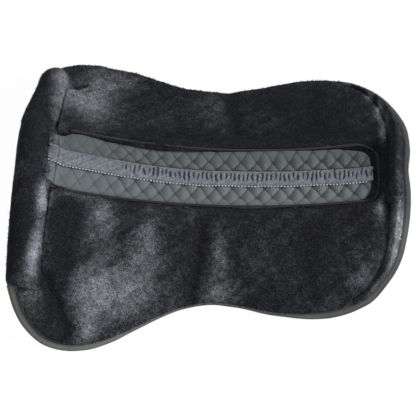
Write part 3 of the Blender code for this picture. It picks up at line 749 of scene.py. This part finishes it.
class Wire:
    """A socket in a material's nodes that can be used in arithmetic."""

    def __init__(self, tree, socket):
        self.tree = tree
        self.socket = socket

    def node(self, kind, inputs, out=0, **settings):
        """Any other node, fed with wires or plain values, as the wire of one of its outputs."""
        made = self.tree.nodes.new(kind)
        for name, value in settings.items():
            setattr(made, name, value)
        for key, value in inputs.items():
            if isinstance(value, Wire):
                self.tree.links.new(value.socket, made.inputs[key])
            else:
                made.inputs[key].default_value = value
        return Wire(self.tree, made.outputs[out])

    def maths(self, operation, first, second):
        return self.node("ShaderNodeMath", {0: first, 1: second}, operation=operation)

    def __add__(self, other):
        return self.maths("ADD", self, other)

    def __radd__(self, other):
        return self.maths("ADD", other, self)

    def __sub__(self, other):
        return self.maths("SUBTRACT", self, other)

    def __rsub__(self, other):
        return self.maths("SUBTRACT", other, self)

    def __mul__(self, other):
        return self.maths("MULTIPLY", self, other)

    def __rmul__(self, other):
        return self.maths("MULTIPLY", other, self)

    def mix(self, dark, pale):
        """A colour between two, by this value."""
        ends = {6: (*dark, 1), 7: (*pale, 1)}
        return self.node("ShaderNodeMix", {"Factor": self, **ends}, out=2, data_type="RGBA")

    def noise(self, scale, detail=2.0, roughness=0.5):
        """Noise from 0 to 1 on these coordinates."""
        return self.node("ShaderNodeTexNoise", {"Vector": self, "Scale": scale, "Detail": detail,
                                                "Roughness": roughness})

    def stretched(self, sizes):
        """These coordinates, scaled along each axis."""
        return self.node("ShaderNodeMapping", {"Vector": self, "Scale": sizes})


def new_look(name, roughness, sheen=0.0, sheen_roughness=0.5, tint=(1, 1, 1), gloss=0.25):
    """A material, its shader and its object coordinates."""
    look = bpy.data.materials.new(name)
    look.use_nodes = True
    tree = look.node_tree
    shader = tree.nodes["Principled BSDF"]
    shader.inputs["Roughness"].default_value = roughness
    shader.inputs["Specular IOR Level"].default_value = gloss
    shader.inputs["Sheen Weight"].default_value = sheen
    shader.inputs["Sheen Roughness"].default_value = sheen_roughness
    shader.inputs["Sheen Tint"].default_value = (*tint, 1)
    where = Wire(tree, tree.nodes.new("ShaderNodeTexCoord").outputs["Object"])
    return look, shader, where


def link(shader, name, wire):
    """Feeds an input of the shader from a wire."""
    wire.tree.links.new(wire.socket, shader.inputs[name])


def bump(shader, height, distance, strength=1.0):
    """Roughens the surface by a height."""
    link(shader, "Normal", height.node("ShaderNodeBump", {"Height": height, "Distance": distance,
                                                          "Strength": strength}))


def read(where, name):
    """A value that is stored on the mesh."""
    return where.node("ShaderNodeAttribute", {}, out="Fac", attribute_name=name)


def fleece_look():
    """Plush that is paler where the stored painted sheen is high and darker where painted shade lies."""
    look, shader, where = new_look("plush_pile", 0.85, 0.04, 0.4, SHEEN_TINT, gloss=0.05)
    sheen_and_shade_share = read(where, "pile_sheen_and_shade")
    grain = where.noise(620, 3) * 2.6 + where.noise(190, 2) * 0.8 - 1.75
    mottle = where.noise(180, 3) - 0.5
    tone = sheen_and_shade_share + grain * (sheen_and_shade_share * 0.28 + 0.18) + mottle * 0.30
    speck = where.noise(700, 2) - 0.52
    lit = tone.maths("MAXIMUM", tone, 0.01) * tone + speck.maths("MAXIMUM", speck, 0.0) * 0.24
    link(shader, "Base Color", lit.mix(*PILE_COLOURS))
    bump(shader, where.noise(900, 2), 0.0006)
    return look


def cotton_look(name, colours):
    """Woven cotton that is paler where the stored swell value is high; that value carries the painted shade
    along quilting lines and in the band's slits.
    """
    look, shader, where = new_look(name, 0.85, sheen=0.15)
    warp = where.stretched((1, 0.12, 1)).noise(2600, 1)
    weft = where.stretched((0.12, 1, 1)).noise(2600, 1)
    cloth = warp * 0.5 + weft * 0.5
    # Random tone and weave, with the painted shade that the swell value carries.
    tone_and_shade = where.noise(45, 4) * 0.30 + cloth * 0.45 + read(where, "swell") * 0.75 - 0.35
    link(shader, "Base Color", tone_and_shade.mix(*colours))
    bump(shader, cloth, 0.0004, 0.7)
    return look


def tape_look():
    """Ribbed binding tape that is paler where the stored swell value is high; that value carries painted
    shade in its groove and on its outer fold.
    """
    look, shader, where = new_look("binding_tape", 0.7, sheen=0.1)
    ribs = where.noise(1800, 2)
    # Random tone and ribs, with the painted shade that the swell value carries.
    tone_and_shade = where.noise(30, 3) * 0.4 + ribs * 0.3 + read(where, "swell") * 0.8 - 0.25
    link(shader, "Base Color", tone_and_shade.mix(*TAPE_COLOURS))
    bump(shader, ribs, 0.0003, 0.6)
    return look


def thread_look(name, colours):
    """Sewing thread."""
    look, shader, where = new_look(name, 0.55)
    link(shader, "Base Color", where.noise(1500, 2).mix(*colours))
    bump(shader, where.noise(3500, 1), 0.0001)
    return look


def stuffing_look(name, colours, scale):
    """Foam or wadding, with grain of a scale."""
    look, shader, where = new_look(name, 0.95)
    grain = where.noise(scale, 4)
    link(shader, "Base Color", grain.mix(*colours))
    bump(shader, grain, 0.001)
    return look


def elastic_look():
    """Knitted elastic with ribs."""
    look, shader, where = new_look("knitted_elastic", 0.75)
    ribs = where.stretched((1, 0.05, 1)).noise(1600, 1)
    link(shader, "Base Color", ribs.mix(*ELASTIC_COLOURS))
    bump(shader, ribs, 0.0003)
    return look


def on_strip(u, s, side):
    """Whether the quilted strip or the recess behind it lies over a flat point."""
    return (np.abs(s) < strip_half(u, side) - 0.0015) & (u > STRIP_FRONT + 0.0055)


def patch(inner, outer, front, rear):
    """The area between four flat curves, as flat points from shares a, front to rear, and b, outwards."""
    def flat(a, b):
        a, b = a[:, None], b[:, None]
        spot = (1 - b) * inner.at(a[:, 0]) + b * outer.at(a[:, 0])
        for end, curve, share in ((0.0, front, 1 - a), (1.0, rear, a)):
            straight = (1 - b) * inner.at(end) + b * outer.at(end)
            spot += share**3 * (curve.at(b[:, 0]) - straight)
        return spot.T

    return flat


def panel_patch(side):
    """The fleece panel as flat points from shares a, front to rear, and b, outwards."""
    outer = HEM.between(PANEL_START[side], HEM.share_of(PANEL_HEM_END), BINDING_WIDTH - PANEL_GAP)
    seam_s = np.linspace(PANEL_INNER, PANEL_SEAM_END, 30)
    front = [(seam(s) + PANEL_GAP, s) for s in seam_s] + [PANEL_CORNER, *ROUND_ROLL_END[side]]
    front = np.array(front + [tuple(outer.at(0.0))])
    crease = [tuple(CREASE.at(t) - np.array(CREASE_GAP)) for t in np.linspace(0.2, 1, 30)]
    beyond = [spot for spot in crease if spot[1] > CREASE_START]
    rear = smooth_path(PANEL_REAR_CORNER + tuple(beyond[:1]))
    rear = np.vstack((rear, beyond[1:], [tuple(outer.at(1.0))]))
    inner = Path([front[0], rear[0]])
    area = patch(inner, outer, Path(front), Path(rear))

    def flat(a, b):
        width = np.linalg.norm(outer.at(a) - inner.at(a), axis=1)
        return *area(a, b), width

    return flat


def overhang(u, side):
    """How far the fleece bulges out over the hem binding."""
    kept = 1 - OVERHANG_LOSS * smoothstep(*OVERHANG_FADES[side], u)
    return OVERHANG[side] * smoothstep(*OVERHANG_STARTS[side], u) * kept


def edge_wave(u, side):
    """How far the fleece leans in over the channel's edge."""
    lean = sum(far * bell(u, middle, half) for far, middle, half in EDGE_BULGES[side])
    if side < 0:
        lean = lean + RIGHT_EDGE_LEVEL + RIGHT_EDGE_WAVE * np.sin(u * RIGHT_EDGE_TURNS)
    return lean


def fleece_panel(side, look):
    """The plush panel of one flank, with its soft folds and its pile."""
    flat = panel_patch(side)

    def low(a, b):
        u, s, _ = flat(a, b)
        over_foam = (a > 0.1) & (a < 0.93) & (b > 0.1) & (b < 0.9)
        return u, s, np.where(over_foam, FOAM_TOP + PLY_GAP, PANEL_FOOT)

    def high(a, b):
        u, s, width = flat(a, b)
        hem = overhang(u, side)
        inner = np.clip(1 - (s - PANEL_INNER) / INNER_ROUNDING, 0, 1)
        lean_in = edge_wave(u, side) * smoothstep(0.16, 0.0, b)
        ends = np.clip(1 - (a + 0.04) * PANEL_LENGTH / END_ROUNDINGS[0], 0, 1)
        ends += np.clip(1 - (1 - a) * PANEL_LENGTH / END_ROUNDINGS[1], 0, 1)
        curl = OUTER_ROUNDING * (1 + smoothstep(0.80, 1.0, a)) - 1.6 * hem
        outer = np.clip(1 - (1 - b) * width / curl - 40 * hem, 0, 1)
        rise = np.sqrt(np.clip(1 - 0.9 * inner**2 - 0.92 * ends**2 - outer**2, 0, 1))
        lumps = 0.0011 * rumple(u, side * s, 0.04, 5) + 0.0005 * rumple(u, side * s, 0.009, 9)
        top = PANEL_EDGE + (PANEL_TOP - PANEL_EDGE) * rise + lumps * rise - folds(u, side * s) * rise
        out = hem * smoothstep(0.90, 1.0, b)
        lean_on = LEAN_ON_ROLL * (1 - smoothstep(0.0, 0.03, a)) * (1 - smoothstep(0.8, 1.0, b))
        return u - lean_on, s + out - lean_in, np.maximum(top, FOAM_TOP + 2 * PLY_GAP + 0.0006 * rise)

    made = slab(side_name(side) + "_fleece", 190, 84, low, high)
    pile(made, side, 11 + side, lambda u, s, h, n: (n[:, 2] > -0.1) & (h > PANEL_FOOT + 0.001))
    dress(lay(made, side), look, "plush_fleece", side, side_name(side) + "_fleece_panel")


def foam(side, look):
    """The foam sheet inside one flank."""
    flat = panel_patch(side)

    def level(h):
        def at(a, b):
            u, s, _ = flat(FOAM_ALONG[0] + FOAM_ALONG[1] * a, FOAM_ACROSS[0] + FOAM_ACROSS[1] * b)
            return u, s, h + 0.0002 * noise(u, s, 0.01, 2)
        return at

    made = slab(side_name(side) + "_foam", 40, 18, level(COVER_TOP + 0.001), level(FOAM_TOP - 0.0006))
    dress(lay(made, side), look, "pad_foam", side, side_name(side) + "_foam_insert")


def section_of(corners, middle):
    """A smooth closed section as a function of the share round it and a size."""
    outline = Path(smooth_path(corners, closed=True))

    def at(turn, size):
        p = outline.at(turn)
        centre = np.array(middle)
        return (centre + (p - centre) * np.asarray(size)[..., None]).T

    return at


def roll_shape(side, shrink, short=0.0):
    """The front roll of one side, or its wadding when shrunk and cut short."""
    free_section = section_of(ROLL_SECTION, ROLL_MIDDLE)
    pressed_section = section_of(PRESSED_SECTION, ROLL_MIDDLE)

    def shape(turn, t):
        reach = ROLL_HALF_LENGTH + ROLL_REACH[side] - short
        s = t * reach
        size = shrink * rounded(0.50, (1 - t) * reach / ROLL_END_ROUNDING)
        free = smoothstep(CHANNEL_HALF - PRESSED_IN, CHANNEL_HALF + PRESSED_OUT, s)
        p, q = free * free_section(turn, size) + (1 - free) * pressed_section(turn, size)
        swell = ROLL_SWELL * rumple(s * side, turn * 0.1, 0.045, 40) * np.sin(np.pi * np.clip(q, 0, 1)) * free
        start = front_edge(s)
        u = start + (p + swell * (p - ROLL_MIDDLE[0])) * (seam(s) - start)
        u += ROLL_LEAN * smoothstep(0.4, 0.95, p) * free
        return u, s, COVER_TOP + PLY_GAP + (q + swell) * ROLL_HEIGHT

    return shape


def front_roll(side, look, stuffing):
    """Half of the plush roll along the front edge, and its wadding."""
    name = side_name(side)
    made = tube(name + "_roll", 44, 90, roll_shape(side, ROLL_SIZE))

    def keep(u, s, h, n):
        shown = (n[:, 2] > -0.75) & ~on_strip(u, s, side)
        return shown & (s > 0.0004) & (np.abs(n[:, 1]) < 0.98) | (s > 0.16)

    pile(made, side, 31 + side, keep)
    nodes = [name + "_front_roll", "centre_front_roll"]
    dress(lay(made, side), look, "plush_fleece", side, *nodes)
    core_shape = roll_shape(side, ROLL_WADDING_SIZE, ROLL_WADDING_SHORT)
    core = lay(tube(name + "_roll_wadding", 20, 24, core_shape), side)
    dress(core, stuffing, "wadding", side, name + "_front_roll_core", "centre_front_roll_core")


def rim_shape(side, shrink, short=0.0):
    """The rear rim of one side, or its wadding when shrunk and cut short."""
    section = section_of(RIM_SECTION, RIM_MIDDLE)
    inner = CREASE.between(0.0, 1.0)
    outer = HEM.between(1.0, HEM.share_of(RIM_HEM_END), BINDING_WIDTH - RIM_OVERLAP)

    def shape(turn, t):
        t = t * (1 - short)
        blunt = rounded(0.5, (1 - t) * RIM_LENGTH / RIM_END_ROUNDING)
        p, q = section(turn, shrink * blunt)
        near, far = inner.at(t), outer.at(t)
        height = RIM_HEIGHT + (RIM_END_HEIGHT - RIM_HEIGHT) * smoothstep(0.2, 1.0, t)
        u = near[:, 0] + (far[:, 0] - near[:, 0]) * p
        s = near[:, 1] + (far[:, 1] - near[:, 1]) * p
        lump = RIM_LUMP * rumple(s * side, u, 0.03, 50) * np.sin(np.pi * np.clip(q, 0, 1))
        h = COVER_TOP + PLY_GAP + (q + lump) * height
        over_tape = smoothstep(*RIM_OVER_TAPE, p)
        return u, np.maximum(s, 0), np.maximum(h, RIM_TAPE_LEVEL * over_tape)

    return shape


def rear_rim(side, look, stuffing):
    """Half of the raised plush rim along the rear edge, and its wadding."""
    name = side_name(side)
    made = tube(name + "_rim", 36, 90, rim_shape(side, RIM_SIZE))
    pile(made, side, 51 + side, lambda u, s, h, n: (n[:, 2] > -0.3) & (s > 0.0004))
    nodes = [name + "_rear_rim", "centre_rear_rim"]
    dress(lay(made, side), look, "plush_fleece", side, *nodes)
    core_shape = rim_shape(side, RIM_WADDING_SIZE, RIM_WADDING_SHORT)
    core = lay(tube(name + "_rim_wadding", 16, 24, core_shape), side)
    dress(core, stuffing, "wadding", side, name + "_rear_rim_core", "centre_rear_rim_core")


def recess_lining(side, look):
    """Dark pile, with painted shade, on the floor of the recess behind the strip, which rises to the rim."""
    def level(h):
        def at(a, b):
            u, s = RECESS_START + a * RECESS_LENGTH, b * RECESS_HALF
            climb = RECESS_CLIMB * smoothstep(0.498, 0.516, u) * (1 - smoothstep(0.040, 0.052, s))
            return u, s, h + climb
        return at

    def keep(u, s, h, n):
        return (n[:, 2] > 0.5) & ((u > STRIP_REAR - 0.001) | (s > strip_half(u, side) + 0.001))

    low, high = level(COVER_TOP + 0.0001), level(COVER_TOP + 0.0005)
    made = slab(side_name(side) + "_recess_lining", 40, 40, low, high)
    pile(made, side, 71 + side, keep)
    dress(lay(made, side), look, "plush_fleece", side)


def strip_half(u, side):
    """Half width of the quilted strip on one side, with its rounded rear corner."""
    past = np.clip(u - (STRIP_REAR - STRIP_CORNER), 0, STRIP_CORNER)
    narrow = np.where(np.asarray(side) > 0, *STRIP_NARROWINGS) * (1 - smoothstep(STRIP_FRONT, 0.066, u))
    return STRIP_HALF - STRIP_CORNER + np.sqrt(STRIP_CORNER**2 - past**2) - narrow


def thin_front(u):
    """Share of its thickness that the strip has near its front end, where it thins out."""
    return 0.08 + 0.92 * smoothstep(STRIP_FRONT - 0.001, STRIP_FRONT + 0.015, u)


def front_seam(u):
    """The line of stitching across the strip at the roll's foot."""
    return bell(u, SEAM_AT_ROLL, SEAM_WIDTH)


def stray(u):
    """How far the ruched band strays from the spine."""
    return 0.0008 * noise(u, 0 * u, 0.05, 90) - BAND_STRAY * smoothstep(*BAND_STRAY_AT, u)


def wall_climb(u, s):
    """How far the strip's outer edge climbs the channel's wall."""
    along = smoothstep(0.058, 0.075, u) * (1 - smoothstep(STRIP_REAR - 0.050, STRIP_REAR - 0.012, u))
    bulge = 0.25 + 0.75 * bell(u, 0.355, 0.095) + 0.6 * bell(u, 0.090, 0.028)
    return WALL_CLIMB * along * bulge * smoothstep(0.027, 0.042, np.abs(s))


def strip_top(u, s):
    """Height of the quilted strip's upper face at a flat point with signed s."""
    edge = np.minimum(strip_half(u, s) - np.abs(s), STRIP_REAR - u) / STRIP_EDGE_ROUNDING
    swell = puff(u, s)
    swell += (0.55 - swell) * 0.8 * smoothstep(0.010, 0.002, strip_half(u, s) - np.abs(s))
    swell *= smoothstep(BAND_HALF - 0.001, BAND_HALF + 0.004, np.abs(s - stray(u)))
    pulled = 0.35 + 0.65 * smoothstep(*QUILTING_RISES, u)
    rise = STRIP_LEVEL + STRIP_SWELL * swell * pulled + 0.0005 * rumple(u, s, 0.02, 60)
    rise -= SEAM_DEPTH * front_seam(u)
    return strip_base(u) + rise * rounded(0.25, np.clip(edge, 0, 1)) * thin_front(u) + wall_climb(u, s)


def quilted_strip(side, look):
    """Half of the quilted strip along the spine, with its puffed diamonds."""
    def flat(a, b):
        u = STRIP_FRONT + a * (STRIP_REAR - STRIP_FRONT)
        wide = 0.0018 * smoothstep(0.060, 0.080, u) * (1 - smoothstep(0.45, 0.47, u))
        return u, b * (strip_half(u, side) + wide)

    def low(a, b):
        u, s = flat(a, b)
        return u, s, strip_base(u) + wall_climb(u, s)

    def high(a, b):
        u, s = flat(a, b)
        return u, s, strip_top(u, side * s)

    made = slab(side_name(side) + "_quilted_strip", 400, 36, low, high)
    at = points(made)
    # The swell value holds painted shade along the quilting lines and on the far half, which faces away from
    # the light, and a darker line beside the band and along the front seam.
    off_band = np.abs(side * at[:, 1] - stray(at[:, 0])) - BAND_HALF
    lines = bell(off_band, 0.0013, 0.0012) + front_seam(at[:, 0])
    clear = clear_of_line_shade(at[:, 0], side * at[:, 1]) - STRIP_PAINTED_SHADE[side]
    attribute(made, "swell", clear - 0.9 * np.minimum(1, lines))
    dress(lay(made, side), look, "quilted_cotton", side, "spine_quilt")


def cover(side, look):
    """The quilted lining under the pad, from the spine out to the binding."""
    turn = HEM.share_of(LINING_TURN)
    outer = HEM.between(0.0, turn, LINING_INSET)
    rear = HEM.between(1.0, turn, LINING_INSET)
    front_s = np.linspace(0, ROLL_HALF_LENGTH, 30)
    front = Path([(front_edge(s) + 0.002, s) for s in front_s] + [tuple(outer.at(0.0))])
    inner = Path([tuple(front.at(0.0)), (rear.at(0.0)[0], 0)])
    rear = Path(np.vstack(((rear.at(0.0)[0], 0), rear.points[1:])))
    flat = patch(inner, outer, front, rear)

    def low(a, b):
        u, s = flat(a, b)
        edge = smoothstep(0.0, 0.05, np.minimum.reduce((1 - b, a, 1 - a)))
        return u, s, LINING_FOOT - LINING_PUFF * puff(u, side * s) * edge

    def high(a, b):
        u, s = flat(a, b)
        return u, s, COVER_TOP - 0.0002

    made = slab(side_name(side) + "_quilted_lining", 230, 90, low, high)
    at = points(made)
    # The swell value holds painted shade along the lining's quilting lines.
    attribute(made, "swell", clear_of_line_shade(at[:, 0] + 0.2, side * at[:, 1]))
    dress(lay(made, side), look, "quilted_cotton", side, side_name(side) + "_quilted_cover", "spine_cover")


def gathers(u, s):
    """The ruched band's gathers, from 0 in a slit to 1 on a ridge."""
    phase = u / RIDGE_PITCH + 0.22 * noise(u, s, 0.012, 61) + 0.12 * noise(u, s, 0.005, 62)
    slit = (1 - smoothstep(0.08, 0.85, np.abs(np.sin(np.pi * phase)))) ** 1.3
    centre = 0.0042 * noise(u, 0 * u, RIDGE_PITCH * 0.7, 66) + 0.0005
    length = 0.0056 + 0.0030 * noise(u, 0 * u, RIDGE_PITCH * 1.3, 67)
    middle = 1 - smoothstep(0.35, 1.35, np.abs(s - centre) / length)
    uneven = 0.90 + 0.60 * noise(u, 0 * u, RIDGE_PITCH * 0.8, 63)
    pulled = 0.10 + 0.90 * smoothstep(*GATHERS_START, u)
    return 1 - np.clip(1.25 * slit * middle * pulled * uneven, 0, 1)


def band_top(u, s):
    """Height of the ruched band's upper face."""
    across = np.clip(np.abs(s) / BAND_HALF, 0, 1)
    dome = 0.0005 + BAND_DOME * np.sqrt(1 - 0.97 * across**2)
    sunk = BAND_SINK * (1 - gathers(u, s)) * (1 - across**4) + 0.0003 * noise(u, s, 0.002, 64)
    return strip_base(u) + (STRIP_THICKNESS + BAND_FOOT + dome - sunk) * thin_front(u)


def ruched_band(look):
    """The gathered casing down the middle of the strip."""
    start, end = STRIP_FRONT + 0.0005, STRIP_REAR + 0.0040

    def flat(a, b):
        u = start + a * (end - start)
        wave = 1 + 0.045 * (gathers(u, 0 * u) - 0.5) + 0.02 * noise(u, 0 * u, 0.015, 65)
        half = BAND_HALF * wave * rounded(0.40, (end - u) / 0.006)
        return u, (2 * b - 1) * half, stray(u)

    def low(a, b):
        u, s, off = flat(a, b)
        lift = np.where(np.abs(s) < ELASTIC_HALF + 0.0006, BAND_FOOT + ELASTIC_TOP, BAND_FOOT)
        return u, s + off, strip_base(u) + (STRIP_THICKNESS + lift) * 0.999 * thin_front(u)

    def high(a, b):
        u, s, off = flat(a, b)
        return u, s + off, np.maximum(band_top(u, s), low(a, b)[2] + 0.0003)

    made = slab("ruched_casing", 900, 26, low, high)
    at = points(made)
    grain = 0.34 * noise(at[:, 0], at[:, 1], 0.0021, 68) + 0.24 * noise(at[:, 0], at[:, 1], 0.004, 69)
    # Painted shade in the gathers' slits, with random grain and a darker front seam.
    depth = gathers(at[:, 0], at[:, 1] - stray(at[:, 0]))
    attribute(made, "swell", 1.35 * depth - 0.54 + grain - 0.6 * front_seam(at[:, 0]))
    dress(lay(made, 1), look, "quilted_cotton", 0, "ruched_band")


def elastic(look):
    """The elastic inside the ruched band."""
    def level(h):
        def at(a, b):
            u = STRIP_FRONT + 0.012 + a * (STRIP_REAR - STRIP_FRONT - 0.013)
            s = stray(u) + (2 * b - 1) * ELASTIC_HALF
            return u, s, strip_base(u) + (STRIP_THICKNESS + h) * thin_front(u)
        return at

    made = slab("elastic", 300, 8, level(ELASTIC_TOP - 0.0013), level(ELASTIC_TOP))
    dress(lay(made, 1), look, "elastic_webbing", 0, "spine_elastic")


def stitches(name, spots, along, sizes, look, side, *nodes):
    """A row of stitches at flat spots, each lying along its own flat direction."""
    length, radius = sizes
    bpy.ops.object.select_all(action="DESELECT")
    bpy.ops.mesh.primitive_uv_sphere_add(segments=6, ring_count=5, radius=0.5)
    grain = added("stitch")
    along = along / np.linalg.norm(along, axis=1)[:, None]
    up = np.tile((0.0, 0.0, 1.0), (len(spots), 1))
    across = np.cross(up, along)
    across /= np.linalg.norm(across, axis=1)[:, None]
    axes = (across * radius * 2, np.cross(along, across) * radius * 2, along * length)
    made = copies(name, grain, spots, axes)
    bpy.data.objects.remove(grain)
    lay(made, side or 1)
    return dress(made, look, "sewing_thread", side, *nodes)


def band_stitching(looks):
    """The rows of stitches along both edges of the casing, dark on the left and pale on the right."""
    for side, look in zip((1, -1), looks):
        count = int((STRIP_REAR - STRIP_FRONT) / BAND_STITCH_PITCH)
        u = STRIP_FRONT + (np.arange(count) + 0.5) * BAND_STITCH_PITCH
        s = stray(u) + side * (BAND_HALF + BAND_STITCH_OFF + 0.0003 * noise(u, u, 0.01, 70))
        h = strip_base(u) + (STRIP_THICKNESS + BAND_STITCH_LIFT) * thin_front(u)
        ahead = np.stack((np.gradient(u), np.gradient(s), np.gradient(h)), -1)
        stitches(side_name(side) + "_band_stitches", np.stack((u, s, h), -1), ahead, BAND_STITCH, look, 0,
                 side_name(side) + "_band_stitching")


def diamond_stitching(side, look):
    """Stitches in the valleys of the strip's quilting."""
    spots, ways = [], []
    t = np.arange(-0.06, 0.06, DIAMOND_STITCH_PITCH)
    for lean in (1, -1):
        way = np.array((DIAMOND_LONG, -lean * DIAMOND_WIDE))
        way /= np.linalg.norm(way)
        for line in range(-3, 28):
            u = line * DIAMOND_LONG + way[0] * t
            s = way[1] * t
            keep = (s * side > BAND_HALF + 0.003) & (s * side < strip_half(u, side) - 0.002)
            keep &= (u > STRIP_FRONT + 0.003) & (u < STRIP_REAR - 0.003)
            for uu, ss in zip(u[keep], s[keep]):
                spots.append((uu, side * ss, float(strip_top(np.array([uu]), np.array([ss]))[0])))
                ways.append((way[0], side * way[1], 0.0))
    stitches(side_name(side) + "_diamond_stitches", np.array(spots), np.array(ways), DIAMOND_STITCH,
             look, side)


def channel_piping(side, look):
    """The thin piping between the quilted strip and the plush."""
    path = Path(smooth_path(PIPING_PATH, per_span=16))

    def shape(turn, t):
        spot, out = path.at(t), path.square_to(t)
        low = smoothstep(*PIPING_DROPS_AT, spot[:, 0])
        radius = PIPING_RADIUS * (1 + 0.05 * noise(t * 100, turn, 0.4, 4) - 0.4 * low)
        h = PIPING_HEIGHTS[0] * (1 - low) + PIPING_HEIGHTS[1] * low + radius * np.sin(math.tau * turn)
        off = radius * np.cos(math.tau * turn)
        return spot[:, 0] + out[:, 0] * off, np.maximum(spot[:, 1] + out[:, 1] * off, 0), h

    made = tube(side_name(side) + "_piping", 10, 300, shape)
    attribute(made, "swell", np.full(len(made.data.vertices), 0.2))
    dress(lay(made, side), look, "quilted_cotton", side, side_name(side) + "_channel_piping")


def hem_binding(side, look, thread):
    """The tape round the hem of one side, with its row of stitches."""
    profile = np.array(BINDING_PROFILE)
    count = len(profile)
    tones = []

    def shape(turn, t):
        share = 0.004 + (1 - 0.004) * t
        off, h = profile[np.round(turn * count).astype(int) % count].T
        groove = bell(off, GROOVE, GROOVE_WIDTH) * (h > 0)
        spot, out = HEM.at(share), HEM.square_to(share)
        dulled = TAPE_DULLED * smoothstep(*TAPE_DULLED_AT, spot[:, 0])
        # Painted shade in the stitch groove and on the hem's outer fold; the inner edge is lighter and the
        # rear lobe darker.
        tone = 0.5 + 0.6 * (off < -0.0100) - 0.8 * groove - 0.5 * smoothstep(-0.0012, 0.0, off)
        tones.append(tone - dulled)
        wave = 0.00035 * noise(share * 12, share, 0.25, 80)
        pucker = 0.0002 * np.sin(share * 1500) * (h > 0.005)
        s = spot[:, 1] + out[:, 1] * (off + wave)
        return spot[:, 0] + out[:, 0] * (off + wave), np.maximum(s, 0), h + pucker

    made = tube(side_name(side) + "_binding", count, 420, shape)
    attribute(made, "swell", tones[0])
    dress(lay(made, side, floor=True), look, "hem_tape", side, side_name(side) + "_hem_binding",
          "centre_rear_binding")
    share = np.arange(0.010, 0.998, HEM_STITCH_PITCH / HEM.lengths[-1])
    spot = HEM.at(share) - HEM.square_to(share) * HEM_STITCH_LINE
    spots = np.stack((spot[:, 0], spot[:, 1], np.full(len(share), HEM_STITCH_LIFT)), -1)
    stitches(side_name(side) + "_hem_stitches", spots, np.gradient(spots, axis=0), HEM_STITCH,
             thread, side, side_name(side) + "_hem_stitching")


def studio():
    """A pale floor, soft lamps and the camera."""
    bpy.ops.object.select_all(action="DESELECT")
    bpy.ops.mesh.primitive_plane_add(size=FLOOR_SIZE, location=(0, 0, -FLOOR_DROP))
    floor = bpy.context.object
    floor.name = "floor"
    paper, shader, _ = new_look("white_paper", 0.9)
    shader.inputs["Base Color"].default_value = FLOOR_COLOUR
    tree = paper.node_tree
    seen = Wire(tree, tree.nodes.new("ShaderNodeLightPath").outputs["Is Camera Ray"])
    glow = seen.node("ShaderNodeEmission", {"Color": WHITE, "Strength": 1.0})
    lit = Wire(tree, shader.outputs[0])
    both = seen.node("ShaderNodeMixShader", {"Fac": seen * FLOOR_GLOW, 1: lit, 2: glow})
    tree.links.new(both.socket, tree.nodes["Material Output"].inputs["Surface"])
    floor.data.materials.append(paper)
    for name, spot, size, power in LAMPS:
        data = bpy.data.lights.new(name, "AREA")
        data.size = size
        data.energy = power
        lamp = bpy.data.objects.new(name, data)
        lamp.location = spot
        lamp.rotation_euler = (-Vector(spot)).to_track_quat("-Z", "Y").to_euler()
        bpy.context.scene.collection.objects.link(lamp)
    world = bpy.data.worlds.new("studio")
    world.use_nodes = True
    tree = world.node_tree
    sky = tree.nodes["Background"]
    sky.inputs["Color"].default_value = WHITE
    seen = Wire(tree, tree.nodes.new("ShaderNodeLightPath").outputs["Is Camera Ray"])
    tree.links.new((seen * (1 - SKY_LIGHT) + SKY_LIGHT).socket, sky.inputs["Strength"])
    bpy.context.scene.world = world
    eye = bpy.data.cameras.new("eye")
    eye.lens = EYE_LENS
    eye.sensor_width = FILM_WIDTH
    camera = bpy.data.objects.new("eye", eye)
    right, up = Vector(EYE_RIGHT), Vector(EYE_UP)
    turn = Matrix((right, up, right.cross(up))).transposed().to_4x4()
    camera.matrix_world = Matrix.Translation(EYE) @ turn
    bpy.context.scene.collection.objects.link(camera)
    bpy.context.scene.camera = camera
    bpy.context.scene.view_settings.view_transform = "Standard"


def main():
    """Makes the looks, then each piece, then the studio."""
    fleece = fleece_look()
    quilt = cotton_look("quilted_cloth", QUILT_COLOURS)
    casing = cotton_look("casing_cloth", CASING_COLOURS)
    cord_cover = cotton_look("piping_cloth", PIPING_COLOURS)
    tape = tape_look()
    dark_thread = thread_look("dark_thread", DARK_THREAD_COLOURS)
    pale_thread = thread_look("pale_thread", PALE_THREAD_COLOURS)
    foam_inside = stuffing_look("foam_sheet", FOAM_COLOURS, 700)
    wadding = stuffing_look("loose_wadding", WADDING_COLOURS, 300)
    ruched_band(casing)
    elastic(elastic_look())
    band_stitching((dark_thread, pale_thread))
    for side in (1, -1):
        fleece_panel(side, fleece)
        front_roll(side, fleece, wadding)
        rear_rim(side, fleece, wadding)
        recess_lining(side, fleece)
        foam(side, foam_inside)
        quilted_strip(side, quilt)
        diamond_stitching(side, dark_thread)
        cover(side, quilt)
        channel_piping(side, cord_cover)
        hem_binding(side, tape, dark_thread)
    studio()


main()
